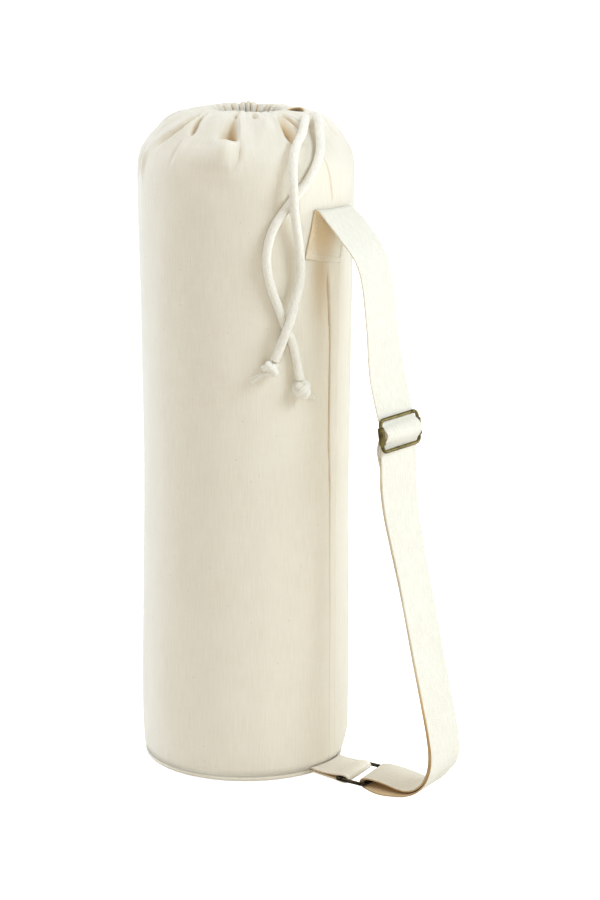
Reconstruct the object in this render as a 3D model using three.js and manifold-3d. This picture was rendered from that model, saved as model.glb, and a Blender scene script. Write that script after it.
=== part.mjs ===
// A canvas drawstring bag for a rolled yoga mat, standing on its base, with a webbing shoulder strap.
// Millimetres, +Z up. The origin is the centre of the base on the floor, and the side seam and the strap
// are on the +X side.
import * as THREE from "three";
import { LoftGeometry } from "three/addons/geometries/LoftGeometry.js";
import { mergeVertices } from "three/addons/utils/BufferGeometryUtils.js";
import Module from "manifold-3d";

const wasm = await Module();
wasm.setup();

// Driving dimensions
const CANVAS = 1.5;
const WEB_WIDTH = 50;
const WEB_THICK = 2;
const CORD_DIAMETER = 8.5;

// Canvas body: columns round the bag, and gathers round the drawn-up mouth
const BODY = { columns: 96, gathers: 24 };

// Outer sections of the body from the base seam to the mouth. gather is the height of the small pleats in
// mm, and spout the share of the mouth's reach towards the seam that the section follows.
const BODY_SECTIONS = [
  { radius: 101.4, height: 5.5, gather: 0, spout: 0 },
  { radius: 102.6, height: 16, gather: 0, spout: 0 },
  { radius: 101.7, height: 250, gather: 0, spout: 0 },
  { radius: 102.5, height: 410, gather: 0, spout: 0 },
  { radius: 104.6, height: 550, gather: 0, spout: 0 },
  { radius: 104.9, height: 588, gather: 0, spout: 0 },
  { radius: 104.1, height: 603, gather: 0, spout: 0 },
  { radius: 101.2, height: 613.5, gather: 0, spout: 0 },
  { radius: 96.2, height: 621.5, gather: 0, spout: 0 },
  { radius: 89.2, height: 629.5, gather: 0, spout: 0.05 },
  { radius: 79.5, height: 638, gather: 0.1, spout: 0.2 },
  { radius: 67.5, height: 645, gather: 0.3, spout: 0.45 },
  { radius: 55.5, height: 649.3, gather: 0.8, spout: 0.72 },
  { radius: 45.5, height: 650.8, gather: 1.3, spout: 0.92 },
];

// The hem that holds the drawstring, drawn up into a pleated ring: crest, inner lip and underside
const CASING_SECTIONS = [
  { radius: 39.5, height: 651.6, gather: 1.7, spout: 1 },
  { radius: 35.6, height: 648, gather: 1.7, spout: 1 },
  { radius: 36.4, height: 641, gather: 1.2, spout: 1 },
  { radius: 41.5, height: 641.8, gather: 0.8, spout: 1 },
];

// Slit of the mouth towards the side seam, where the drawstring comes out: angles in degrees
const SPOUT = { angle: 7, width: 8, reach: 25, lift: 2 };

// Folds of the gathered top, a row for each. angle, lean (the turn from the upper to the lower end) and
// width are in degrees; depth, from and to are in mm, the last two along the cloth from the mouth's crest.
const FOLDS = [
  { angle: -119, lean: 1, width: 6, depth: -4.5, from: 6, to: 76 },
  { angle: -106, lean: -7, width: 6, depth: 2.6, from: 4, to: 84 },
  { angle: -97, lean: 3, width: 5, depth: -3.6, from: 2, to: 48 },
  { angle: -84, lean: -4, width: 7, depth: 1.5, from: 2, to: 60 },
  { angle: -63, lean: 2, width: 6.5, depth: -9, from: 6, to: 62 },
  { angle: -56, lean: -2, width: 5, depth: -3.2, from: 44, to: 104 },
  { angle: -44, lean: 0, width: 5, depth: -3, from: 1, to: 36 },
  { angle: -27, lean: 2, width: 6, depth: 3.4, from: 3, to: 66 },
  { angle: -17, lean: -2, width: 5.5, depth: -7, from: 10, to: 66 },
  { angle: 26, lean: -2, width: 7, depth: -5.5, from: 8, to: 70 },
  { angle: 40, lean: 3, width: 6, depth: 2.8, from: 3, to: 78 },
  { angle: 56, lean: -3, width: 6, depth: -4.5, from: 3, to: 58 },
  { angle: 79, lean: 4, width: 7, depth: -6, from: 6, to: 82 },
  { angle: 92, lean: 2, width: 6, depth: 2.6, from: 3, to: 70 },
  { angle: 108, lean: -4, width: 6, depth: -3.8, from: 2, to: 50 },
  { angle: 133, lean: 3, width: 7, depth: -7, from: 5, to: 72 },
  { angle: 148, lean: -2, width: 6, depth: 2.4, from: 3, to: 64 },
  { angle: 163, lean: 4, width: 5.5, depth: -4, from: 2, to: 56 },
  { angle: 184, lean: -3, width: 7, depth: -5.5, from: 5, to: 88 },
  { angle: 199, lean: 2, width: 6, depth: 2.6, from: 3, to: 74 },
  { angle: 216, lean: -2, width: 6, depth: -4.2, from: 3, to: 60 },
];

// A fold is at its deepest nearer its upper end
const FOLD_SKEW = 0.8;

// Base panel, from its centre: underside, rounded corner, top of the lip, and back along the inside
const BASE = { segments: 40 };
const BASE_PROFILE = [
  { radius: 0, height: 0 },
  { radius: 97, height: 0 },
  { radius: 100, height: 1.2 },
  { radius: 101.2, height: 5.2 },
  { radius: 99.7, height: 5.2 },
  { radius: 98.8, height: 2.3 },
  { radius: 96.8, height: 1.5 },
  { radius: 0, height: 1.5 },
];

// Bent-wire hardware: length is along the webbing and width across it, to the middle of the wire
const RING = { length: 31, width: 54.4, corner: 2.7, wire: 3.6, x: 147.5, z: 4.6 };
const SLIDER = { length: 30.6, width: 56.6, corner: 5.5, wire: 3.4, x: 184, z: 358.5, tilt: 8, twist: 7 };
const SLIDER_BAR = { diameter: 3.6, eyeLength: 9, eyeThick: 0.9, eyeGap: 0.4, sides: 10 };
const WIRE_SIDES = 8;
const CORNER_STEPS = 3;

// Shoulder strap, as the middle of the webbing in the plane of the side seam. The upper run starts flat on
// the bag, where it is sewn, folds outward and comes down to the slider.
const UPPER_RUN = [
  { x: 105.7, z: 515 },
  { x: 106.3, z: 548 },
  { x: 106.5, z: 560.5 },
  { x: 107.6, z: 565.2 },
  { x: 110.2, z: 566.4 },
  { x: 113.2, z: 563.4 },
  { x: 118.6, z: 555.5 },
  { x: 130, z: 541.5 },
  { x: 142, z: 527.5 },
  { x: 150.5, z: 513.5 },
  { x: 156, z: 497 },
  { x: 160.6, z: 466 },
  { x: 164.2, z: 438 },
  { x: 168.6, z: 410 },
  { x: 174.5, z: 387 },
];

// Through the slider: along is down the strap from its middle bar, out is away from the bag
const SLIDER_FRONT = [
  { along: -15.3, out: -3.3 },
  { along: -10.5, out: -1.6 },
  { along: -5.6, out: 2.9 },
  { along: 0, out: 5.7 },
  { along: 5.6, out: 2.9 },
  { along: 10.5, out: -1.6 },
  { along: 15.3, out: -3.4 },
];

// From the slider down to the bend above the floor
const LOWER_RUN = [
  { x: 182.9, z: 326 },
  { x: 183.4, z: 308 },
  { x: 186.4, z: 284 },
  { x: 193.4, z: 252 },
  { x: 203, z: 214 },
  { x: 212.3, z: 175 },
  { x: 222.3, z: 133 },
  { x: 231, z: 98 },
  { x: 238.2, z: 67 },
];

// Along the floor, up through the ring and back over its outer bar
const FLOOR_RUN = [
  { x: 241.2, z: 48 },
  { x: 239.6, z: 32 },
  { x: 233.6, z: 18.4 },
  { x: 224, y: -0.6, z: 8.4 },
  { x: 212, y: -2.6, z: 3 },
  { x: 200, y: -5.2, z: 1.5 },
  { x: 185, y: -7.6, z: 1.2 },
  { x: 173, y: -5.8, z: 1.2 },
  { x: 164, y: -2.4, z: 1.2 },
  { x: 158, z: 1.4 },
  { x: 155.1, z: 2.9 },
  { x: 154, z: 5.5 },
  { x: 155.3, z: 8.2 },
  { x: 159.5, z: 9.9 },
  { x: 166, z: 10.5 },
  { x: 176, z: 10.3 },
  { x: 190, z: 8.9 },
  { x: 203, z: 7.8 },
  { x: 212, z: 8.9 },
  { x: 222, z: 12.8 },
  { x: 230.6, z: 20.4 },
  { x: 235.6, z: 31.5 },
  { x: 237.4, z: 47 },
];

// The return layer follows the lower run at this distance, then loops round the slider's middle bar
const LAYER_STEP = 2.9;
const SLIDER_LOOP = [
  { along: 24, out: -8.4 },
  { along: 15.3, out: -8.7 },
  { along: 7, out: -6.2 },
  { along: 2.2, out: -3.7 },
  { along: -1.7, out: -3.1 },
  { along: -3.6, out: 0 },
  { along: -1.7, out: 3 },
  { along: 2, out: 2.9 },
  { along: 4.4, out: -0.4 },
  { along: 8.5, out: -3.6 },
  { along: 15.3, out: -6 },
  { along: 22, out: -5.7 },
];

// How the sewn end of a webbing lies on the bag: it takes all of the bag's roundness up to the x of full
// and none past flat, and it is turned by a number of degrees about a height, which fades to none at straight
const STRAP_SEWN = { full: 107.5, flat: 124, turn: 10, about: 566, straight: 114 };
// How far its fold round a ring slants: a share of the distance across, from the x of none to that of full, at
// heights under above
const STRAP_SLANT = { share: 0.17, none: 205, full: 160, below: 12, above: 30 };
// Heights between which the strap turns with the slider
const STRAP_TWIST = { top: 470, high: 400, low: 320, foot: 200 };
const STRAP_COLUMNS = 5;
const STRAP_STEPS = 90;

// Tab at the foot of the side seam, folded round the ring's inner bar: the middle of its webbing
const TAB_PATH = [
  { x: 101.7, z: 4.4 },
  { x: 112, z: 3.4 },
  { x: 124, z: 1.9 },
  { x: 134, z: 1.2 },
  { x: 138.4, z: 1.9 },
  { x: 140.2, z: 4.4 },
  { x: 138.6, z: 6.7 },
  { x: 134, z: 7.8 },
  { x: 124, z: 8 },
  { x: 112, z: 7.2 },
  { x: 102.2, z: 7.4 },
];
const TAB_SEWN = { full: 104, flat: 128, turn: 0, about: 0, straight: 128 };
const TAB_SLANT = { share: 0.15, none: 112, full: 132, below: 12, above: 30 };
const TAB_STEPS = 22;

// Free ends of the drawstring, from the spout to the knots
const CORD_SIDES = 8;
const CORD_STEPS = 30;
const LEFT_ROUTE = [
  [74.4, -5.5, 647.4],
  [79, -13.5, 645.2],
  [85.5, -25.5, 639],
  [89, -38, 631.5],
  [93, -48, 624],
  [96, -54, 616.5],
  [99.5, -59, 605.5],
  [102.3, -61.8, 593.5],
  [102.3, -61.3, 581],
  [101, -58, 568],
  [101, -55.5, 556.5],
  [101.5, -51, 533.5],
  [102, -49.5, 517],
  [102, -50, 504],
  [101, -55.5, 486],
  [99.4, -63, 464.5],
  [97.3, -66.3, 455],
  [93, -67.5, 443.5],
  [89.5, -69, 433.5],
  [87.1, -70.4, 426.8],
];
const RIGHT_ROUTE = [
  [80.2, 9.1, 650.4],
  [84.7, 4.1, 646.2],
  [90, -3.3, 639],
  [97, -11.5, 629],
  [102, -21, 618.5],
  [103.5, -28.5, 610],
  [103, -35, 602.5],
  [101, -42, 593.5],
  [99.5, -47.5, 588.5],
  [97.5, -51, 584],
  [92.5, -59, 573],
  [86, -69.5, 556.5],
  [82.5, -74.5, 540],
  [81.5, -76, 524.5],
  [82.5, -74, 507],
  [84.5, -68.5, 489],
  [88.5, -63, 472],
  [90.5, -59, 460],
  [94.5, -53, 444],
  [97, -49.5, 428],
  [99, -48.5, 415.5],
  [100.9, -47.8, 406.2],
];

// Overhand knots: the turns of cord that make them, each a ring leaning about the knot's axis, and a tail
const KNOT = { turn: 4.9, tube: 3.6, sides: 6, segments: 9, core: 6 };
const KNOT_TURNS = [
  { lean: 0, twist: 0, along: 2.6 },
  { lean: 58, twist: 40, along: 0 },
  { lean: -52, twist: -70, along: -0.5 },
];
const TAIL = { strands: 6, length: 17, root: 1.5, tip: 0.5, fan: 20, inner: 0.6, sides: 4, start: 4 };
const LEFT_KNOT = { centre: [84.5, -74, 418.5], axis: [-9, -10, -7.5] };
const RIGHT_KNOT = { centre: [102, -47.5, 397.5], axis: [6.5, 23, -16] };

// Finishes
const canvas = new THREE.MeshStandardMaterial({ color: 0xe9e2d0, roughness: 0.9, metalness: 0 });
const webbing = new THREE.MeshStandardMaterial({ color: 0xf2eedf, roughness: 0.85, metalness: 0 });
const cotton = new THREE.MeshStandardMaterial({ color: 0xf1ecdd, roughness: 0.9, metalness: 0 });
const brass = new THREE.MeshStandardMaterial({ color: 0x6b5a2c, roughness: 0.4, metalness: 1 });
const gunmetal = new THREE.MeshStandardMaterial({ color: 0x2a2118, roughness: 0.45, metalness: 1 });

const radians = THREE.MathUtils.degToRad;
const group = new THREE.Group();

function add(name, geometry, material) {
  const mesh = new THREE.Mesh(geometry, material);
  mesh.name = name;
  group.add(mesh);
  return mesh;
}

// A closed geometry as a solid that can be joined to others
function solidOf(geometry) {
  const bare = geometry.clone();
  bare.deleteAttribute("normal");
  bare.deleteAttribute("uv");
  const merged = mergeVertices(bare);
  const vertProperties = new Float32Array(merged.attributes.position.array);
  const triVerts = new Uint32Array(merged.index.array);
  return new wasm.Manifold(new wasm.Mesh({ numProp: 3, vertProperties, triVerts }));
}

// Several closed geometries joined into one
function joined(geometries) {
  const [first, ...rest] = geometries.map(solidOf);
  const mesh = rest.reduce((whole, next) => whole.add(next), first).getMesh();
  const geometry = new THREE.BufferGeometry();
  geometry.setAttribute("position", new THREE.BufferAttribute(mesh.vertProperties, mesh.numProp));
  geometry.setIndex(new THREE.BufferAttribute(mesh.triVerts, 1));
  geometry.computeVertexNormals();
  return geometry;
}

// A smooth hump of height 1 at 0 that ends at -1 and 1
function hump(t) {
  return Math.abs(t) < 1 ? Math.cos((t * Math.PI) / 2) ** 2 : 0;
}

// The smaller turn from one angle to another, in degrees
function turnBetween(from, to) {
  return THREE.MathUtils.euclideanModulo(to - from + 180, 360) - 180;
}

// Height of all folds over the smooth cloth, at an angle and a distance from the mouth's crest
function foldHeight(angle, distance) {
  return FOLDS.reduce((height, fold) => {
    const t = (distance - fold.from) / (fold.to - fold.from);
    if (t <= 0 || t >= 1) return height;
    const across = turnBetween(fold.angle + fold.lean * t, angle) / (2 * fold.width);
    return height + fold.depth * hump(across) * Math.sin(Math.PI * t ** FOLD_SKEW);
  }, 0);
}

// Body sections with their outward direction in the (radius, height) plane and distance from the crest
function profileRows() {
  const rows = [...BODY_SECTIONS, ...CASING_SECTIONS];
  const crest = BODY_SECTIONS.length;
  const step = (a, b) => Math.hypot(b.radius - a.radius, b.height - a.height);
  let distance = 0;
  const distances = rows.map(() => 0);
  for (let i = crest - 1; i >= 0; i -= 1) {
    distance += step(rows[i + 1], rows[i]);
    distances[i] = distance;
  }
  return rows.map((row, i) => {
    const before = rows[Math.max(i - 1, 0)];
    const after = rows[Math.min(i + 1, rows.length - 1)];
    const length = step(before, after);
    const outR = (after.height - before.height) / length;
    const outZ = (before.radius - after.radius) / length;
    return { ...row, outR, outZ, distance: distances[i] };
  });
}

// One ring of the body's cloth: a section lifted by its folds and pleats, less an inset into the wall
function bodyRing(row, inset) {
  return Array.from({ length: BODY.columns }, (_, i) => {
    const angle = (i * 360) / BODY.columns;
    const slit = row.spout * hump(turnBetween(SPOUT.angle, angle) / (2 * SPOUT.width));
    const pleat = row.gather * Math.cos(radians(angle * BODY.gathers));
    const lift = pleat * (1 - slit) + foldHeight(angle, row.distance) - inset;
    const radius = row.radius + SPOUT.reach * slit + row.outR * lift;
    const height = row.height + SPOUT.lift * slit + row.outZ * lift;
    return new THREE.Vector3(radius * Math.cos(radians(angle)), radius * Math.sin(radians(angle)), height);
  });
}

function bagBody() {
  const rows = profileRows();
  const wall = rows.slice(0, BODY_SECTIONS.length);
  const outside = rows.map((row) => bodyRing(row, 0));
  const inside = wall.map((row) => bodyRing(row, CANVAS)).reverse();
  return new LoftGeometry([...outside, ...inside, outside[0]]);
}

function basePanel() {
  const points = BASE_PROFILE.map(({ radius, height }) => new THREE.Vector2(radius, height));
  return new THREE.LatheGeometry(points, BASE.segments).rotateX(Math.PI / 2);
}

// How far the strap has turned with the slider at a height, in radians
function strapTwist(height) {
  const { top, high, low, foot } = STRAP_TWIST;
  const share = THREE.MathUtils.smoothstep(height, foot, low) * (1 - THREE.MathUtils.smoothstep(height, high, top));
  return radians(SLIDER.twist) * share;
}

// Webbing along a path. sewn says how its sewn end turns and bends round the bag, and slant how its fold round
// the ring slants. Each end closes on the middle line of its cross-section.
function webbingAlong(path, steps, sewn, slant) {
  const { smoothstep } = THREE.MathUtils;
  const curve = new THREE.CatmullRomCurve3(path.map(({ x, y = 0, z }) => new THREE.Vector3(x, y, z)));
  const side = new THREE.Vector3(0, 1, 0);
  const sliderOut = new THREE.Vector3(Math.cos(radians(SLIDER.tilt)), 0, Math.sin(radians(SLIDER.tilt)));
  const section = (t, thick) => {
    const middle = curve.getPoint(t);
    const out = curve.getTangent(t).cross(side).normalize();
    const roundness = 1 - smoothstep(middle.x, sewn.full, sewn.flat);
    const turn = radians(sewn.turn) * (1 - smoothstep(middle.x, path[0].x, sewn.straight));
    const slanted = smoothstep((middle.x - slant.none) / (slant.full - slant.none), 0, 1);
    const slope = slant.share * slanted * (1 - smoothstep(middle.z, slant.below, slant.above));
    const twist = strapTwist(middle.z);
    const row = (face) =>
      Array.from({ length: STRAP_COLUMNS }, (_, j) => {
        const across = (j / (STRAP_COLUMNS - 1) - 0.5) * WEB_WIDTH;
        const point = middle.clone().addScaledVector(out, (face * thick) / 2);
        point.addScaledVector(sliderOut, across * Math.sin(twist));
        const up = point.z - sewn.about;
        const y = middle.y + across * Math.cos(twist) * Math.cos(turn) + up * Math.sin(turn);
        const z = up * Math.cos(turn) - across * Math.sin(turn) + sewn.about;
        const sag = middle.x - Math.sqrt(middle.x ** 2 - y ** 2);
        return new THREE.Vector3(point.x - sag * roundness - slope * across, y, z);
      });
    return [...row(-1), ...row(1).reverse()];
  };
  const sections = Array.from({ length: steps + 1 }, (_, i) => section(i / steps, WEB_THICK));
  return new LoftGeometry([section(0, 0), ...sections, section(1, 0)]);
}

// A point beside the slider's middle bar, in the plane of the side seam
function besideSlider({ along, out }) {
  const tilt = radians(SLIDER.tilt);
  const x = SLIDER.x + along * Math.sin(tilt) + out * Math.cos(tilt);
  const z = SLIDER.z - along * Math.cos(tilt) + out * Math.sin(tilt);
  return { x, z };
}

// A run of points moved sideways by a step, towards the bag, and followed the other way
function returnLayer(run, stepAside) {
  return run
    .map((point, i) => {
      const before = run[Math.max(i - 1, 0)];
      const after = run[Math.min(i + 1, run.length - 1)];
      const length = Math.hypot(after.x - before.x, after.z - before.z);
      const x = point.x + ((after.z - before.z) * stepAside) / length;
      const z = point.z - ((after.x - before.x) * stepAside) / length;
      return { x, z };
    })
    .reverse();
}

function shoulderStrap() {
  const path = [
    ...UPPER_RUN,
    ...SLIDER_FRONT.map(besideSlider),
    ...LOWER_RUN,
    ...FLOOR_RUN,
    ...returnLayer(LOWER_RUN, LAYER_STEP),
    ...SLIDER_LOOP.map(besideSlider),
  ];
  return webbingAlong(path, STRAP_STEPS, STRAP_SEWN, STRAP_SLANT);
}

// A round wire bent into a flat rectangle with rounded corners, closed on itself
function wireLoop({ length, width, corner, wire }) {
  const middles = [];
  for (let quarter = 0; quarter < 4; quarter += 1) {
    const signX = quarter === 0 || quarter === 3 ? 1 : -1;
    const signY = quarter < 2 ? 1 : -1;
    for (let i = 0; i <= CORNER_STEPS; i += 1) {
      const angle = ((quarter + i / CORNER_STEPS) * Math.PI) / 2;
      const outward = new THREE.Vector3(Math.cos(angle), Math.sin(angle), 0);
      const hub = new THREE.Vector3(signX * (length / 2 - corner), signY * (width / 2 - corner), 0);
      middles.push({ point: hub.addScaledVector(outward, corner), outward });
    }
  }
  const up = new THREE.Vector3(0, 0, 1);
  const sections = middles.map(({ point, outward }) =>
    Array.from({ length: WIRE_SIDES }, (_, i) => {
      const angle = (-i * 2 * Math.PI) / WIRE_SIDES;
      return point
        .clone()
        .addScaledVector(outward, (Math.cos(angle) * wire) / 2)
        .addScaledVector(up, (Math.sin(angle) * wire) / 2);
    }),
  );
  return new LoftGeometry([...sections, sections[0]]);
}

// The slider's middle bar, across the frame, with an eye round each side of it
function sliderBar() {
  const hole = SLIDER.wire / 2 + SLIDER_BAR.eyeGap;
  const outer = hole + SLIDER_BAR.eyeThick;
  const half = SLIDER_BAR.eyeLength / 2;
  const wall = [
    [hole, -half],
    [outer, -half],
    [outer, half],
    [hole, half],
    [hole, -half],
  ];
  const walls = wall.map(([r, h]) => new THREE.Vector2(r, h));
  const eye = new THREE.LatheGeometry(walls, SLIDER_BAR.sides).rotateZ(Math.PI / 2);
  const reach = SLIDER.width - 2 * hole - SLIDER_BAR.eyeThick;
  const radius = SLIDER_BAR.diameter / 2;
  const bar = new THREE.CylinderGeometry(radius, radius, reach, SLIDER_BAR.sides);
  const side = SLIDER.width / 2;
  return joined([bar, eye.clone().translate(0, side, 0), eye.clone().translate(0, -side, 0)]);
}

function placeSlider(mesh) {
  mesh.rotation.set(radians(SLIDER.twist), radians(90 - SLIDER.tilt), 0, "YXZ");
  mesh.position.set(SLIDER.x, 0, SLIDER.z);
}

function cordAlong(route) {
  const curve = new THREE.CatmullRomCurve3(route.map((point) => new THREE.Vector3(...point)));
  const section = new THREE.Shape(
    Array.from({ length: CORD_SIDES }, (_, i) => {
      const angle = (i * 2 * Math.PI) / CORD_SIDES;
      return new THREE.Vector2(Math.cos(angle), Math.sin(angle)).multiplyScalar(CORD_DIAMETER / 2);
    }),
  );
  return new THREE.ExtrudeGeometry(section, { steps: CORD_STEPS, extrudePath: curve });
}

// A knot with its axis along +Z: turns of cord round a core, and a frayed tail past its end
function knot() {
  const turns = KNOT_TURNS.map(({ lean, twist, along }) =>
    new THREE.TorusGeometry(KNOT.turn, KNOT.tube, KNOT.sides, KNOT.segments)
      .rotateX(radians(lean))
      .rotateZ(radians(twist))
      .translate(0, 0, along),
  );
  const core = new THREE.SphereGeometry(KNOT.core, KNOT.segments, KNOT.sides);
  const strands = Array.from({ length: TAIL.strands }, (_, i) => {
    const spread = i % 2 === 0 ? TAIL.inner : 1;
    const swing = i === 0 ? 0 : radians(TAIL.fan * spread);
    return new THREE.CylinderGeometry(TAIL.tip, TAIL.root, TAIL.length, TAIL.sides)
      .rotateX(Math.PI / 2)
      .translate(0, 0, TAIL.start + TAIL.length / 2)
      .rotateX(swing)
      .rotateZ((i * 2 * Math.PI) / (TAIL.strands - 1));
  });
  return joined([core, ...turns, ...strands]);
}

function placeKnot(mesh, { centre, axis }) {
  const along = new THREE.Vector3(...axis).normalize();
  mesh.quaternion.setFromUnitVectors(new THREE.Vector3(0, 0, 1), along);
  mesh.position.set(...centre);
}

add("bag_body", bagBody(), canvas);
add("base_panel", basePanel(), canvas);
add("shoulder_strap", shoulderStrap(), webbing);
add("lower_tab", webbingAlong(TAB_PATH, TAB_STEPS, TAB_SEWN, TAB_SLANT), webbing);
add("ring", wireLoop(RING), gunmetal).position.set(RING.x, 0, RING.z);
placeSlider(add("slider_frame", wireLoop(SLIDER), brass));
placeSlider(add("slider_bar", sliderBar(), brass));
add("drawstring_left", cordAlong(LEFT_ROUTE), cotton);
add("drawstring_right", cordAlong(RIGHT_ROUTE), cotton);
placeKnot(add("knot_left", knot(), cotton), LEFT_KNOT);
placeKnot(add("knot_right", knot(), cotton), RIGHT_KNOT);

export default group;
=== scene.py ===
"""Dresses a canvas drawstring bag for a yoga mat: cloth body, webbing strap, cotton cord and wire hardware.

Metres, +Z up. The origin is the centre of the base on the floor, and the side seam and the strap are on the
+X side. Angles round the bag are in degrees from +X towards +Y.
"""

import logging
import math
from collections.abc import Callable, Iterable, Sequence
from dataclasses import dataclass, field
from enum import Enum

import bmesh
import bpy
import numpy as np
from mathutils import Matrix, Vector, noise

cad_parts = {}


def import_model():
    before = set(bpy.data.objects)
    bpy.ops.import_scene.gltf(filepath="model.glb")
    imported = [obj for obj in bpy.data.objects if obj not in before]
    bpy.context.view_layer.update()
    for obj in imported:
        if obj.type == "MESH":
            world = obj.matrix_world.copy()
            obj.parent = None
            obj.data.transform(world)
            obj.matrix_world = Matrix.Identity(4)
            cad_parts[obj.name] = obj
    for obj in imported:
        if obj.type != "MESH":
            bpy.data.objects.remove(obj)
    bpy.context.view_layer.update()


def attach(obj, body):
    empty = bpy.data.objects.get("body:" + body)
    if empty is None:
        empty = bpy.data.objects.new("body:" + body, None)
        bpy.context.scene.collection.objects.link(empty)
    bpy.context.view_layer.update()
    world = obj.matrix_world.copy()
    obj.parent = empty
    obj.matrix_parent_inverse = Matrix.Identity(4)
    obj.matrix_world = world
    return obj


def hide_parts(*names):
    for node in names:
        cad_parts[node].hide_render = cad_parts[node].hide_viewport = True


LOG = logging.getLogger("mat_bag")
BODY = "root"
THREAD_MAP = "threads"
# Vertex layer of painted light and painted shade: -1 painted light, 1 painted crease shade, 2 painted deep
# shadow
PAINTED_SHADING_MAP = "painted_shading"
WELD = 1e-6
CURVE_STEPS = 24
# Where most of a noise texture's values lie
NOISE_RANGE = (0.3, 0.7)
# The share of a stitch's pitch where its thread comes up and goes down
STITCH_SPAN = (0.12, 0.88)

Points = np.ndarray
Placer = Callable[[Points, Points], Points]
Spot = tuple[float, float, float]
Colour = tuple[float, float, float]
Feed = bpy.types.NodeSocket | float | Sequence[float]


class Slot(Enum):
    """The record's material slots."""

    CANVAS = "canvas"
    WEBBING = "webbing"
    CORD = "cotton_cord"
    BRASS = "antique_brass"
    DARK_WIRE = "dark_wire"


# Curves and grids


def smooth_curve(points: Points, spacing: float) -> Points:
    """Samples the smooth curve through a few points.

    Args:
        points: the points that the curve passes, one in each row.
        spacing: the distance between samples.

    Returns:
        The samples, evenly spaced along the curve, from the first point to the last.
    """
    reach = np.vstack([2 * points[0] - points[1], points, 2 * points[-1] - points[-2]])
    share = np.linspace(0, 1, CURVE_STEPS, endpoint=False)[:, None]
    stretches = []
    for before, start, end, after in zip(reach, reach[1:], reach[2:], reach[3:]):
        gap0, gap1, gap2 = (math.sqrt(np.linalg.norm(b - a)) for a, b in
                            ((before, start), (start, end), (end, after)))
        leave = (start - before) / gap0 - (end - before) / (gap0 + gap1) + (end - start) / gap1
        arrive = (end - start) / gap1 - (after - start) / (gap1 + gap2) + (after - end) / gap2
        leave, arrive = leave * gap1, arrive * gap1
        square, cube = share**2, share**3
        stretches.append(
            start * (2 * cube - 3 * square + 1)
            + end * (3 * square - 2 * cube)
            + leave * (cube - 2 * square + share)
            + arrive * (cube - square)
        )
    fine = np.vstack([*stretches, points[-1:]])
    along = np.concatenate([[0], np.cumsum(np.linalg.norm(np.diff(fine, axis=0), axis=1))])
    at = np.linspace(0, along[-1], max(2, round(along[-1] / spacing) + 1))
    return np.stack([np.interp(at, along, column) for column in fine.T], axis=1)


def smooth_share(values: Points, low: float, high: float) -> Points:
    """Returns a smooth rise from 0 at low to 1 at high."""
    share = np.clip((values - low) / (high - low), 0, 1)
    return share * share * (3 - 2 * share)


def wrapped_grid(columns: int, rows: int, place: Placer, threads: Placer,
                 painted_shading: Placer | None = None) -> bmesh.types.BMesh:
    """Wraps a flat grid into a closed skin.

    Args:
        columns: faces across the grid.
        rows: faces along the grid.
        place: gives the skin's points from the grid's two coordinates, each from 0 to 1.
        threads: gives the cloth's own flat coordinates, in metres, from the same two.
        painted_shading: gives each point's painted light and shade, from -1, painted light, over 0, none, to
            2, painted deep shadow.

    Returns:
        The skin, with its edges welded and its faces pointing outwards.
    """
    bm = bmesh.new()
    bmesh.ops.create_grid(bm, x_segments=columns, y_segments=rows, size=0.5)
    flat = np.array([vert.co for vert in bm.verts]) + 0.5
    across, along = flat[:, 0], flat[:, 1]
    bm.verts.index_update()
    woven = threads(across, along)
    layer = bm.loops.layers.uv.new(THREAD_MAP)
    for face in bm.faces:
        for loop in face.loops:
            loop[layer].uv = woven[loop.vert.index]
    for vert, point in zip(bm.verts, place(across, along)):
        vert.co = point
    if painted_shading:
        # The painted light and shade go on a vertex layer, which the cloth's material reads
        depth = bm.verts.layers.float.new(PAINTED_SHADING_MAP)
        for vert, value in zip(bm.verts, painted_shading(across, along)):
            vert[depth] = value
    bmesh.ops.remove_doubles(bm, verts=bm.verts, dist=WELD)
    bmesh.ops.recalc_face_normals(bm, faces=bm.faces)
    return bm


def shown(bm: bmesh.types.BMesh, name: str, finish: bpy.types.Material,
          replaced: Sequence[str] = ()) -> bpy.types.Object:
    """Makes a finished mesh a piece of the bag.

    Args:
        bm: the mesh, which is freed.
        name: the piece's name.
        finish: its material.
        replaced: the frame's nodes that the piece stands for.

    Returns:
        The piece's object.
    """
    mesh = bpy.data.meshes.new(name)
    bm.to_mesh(mesh)
    bm.free()
    mesh.shade_smooth()
    mesh.materials.append(finish)
    piece = bpy.data.objects.new(name, mesh)
    bpy.context.scene.collection.objects.link(piece)
    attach(piece, BODY)
    if replaced:
        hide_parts(*replaced)
    LOG.info("%s: %d faces", name, len(mesh.polygons))
    return piece


def add_stitch(bm: bmesh.types.BMesh, start: Vector, end: Vector, thick: float) -> None:
    """Adds one stitch of thread.

    Args:
        bm: the mesh that takes it.
        start: where the thread comes up.
        end: where it goes down.
        thick: the thread's thickness.
    """
    run = end - start
    turn = run.to_track_quat("Z", "Y").to_matrix().to_4x4()
    size = Matrix.Diagonal((thick / 2, thick / 2, run.length / 2, 1))
    matrix = Matrix.Translation((start + end) / 2) @ turn @ size
    bmesh.ops.create_uvsphere(bm, u_segments=6, v_segments=4, radius=1, matrix=matrix)


# Shader building


def feed(tree: bpy.types.NodeTree, socket: bpy.types.NodeSocket, value: Feed) -> None:
    """Links an output to a socket, or sets the socket's own value."""
    if isinstance(value, bpy.types.NodeSocket):
        tree.links.new(value, socket)
    else:
        socket.default_value = value


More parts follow.
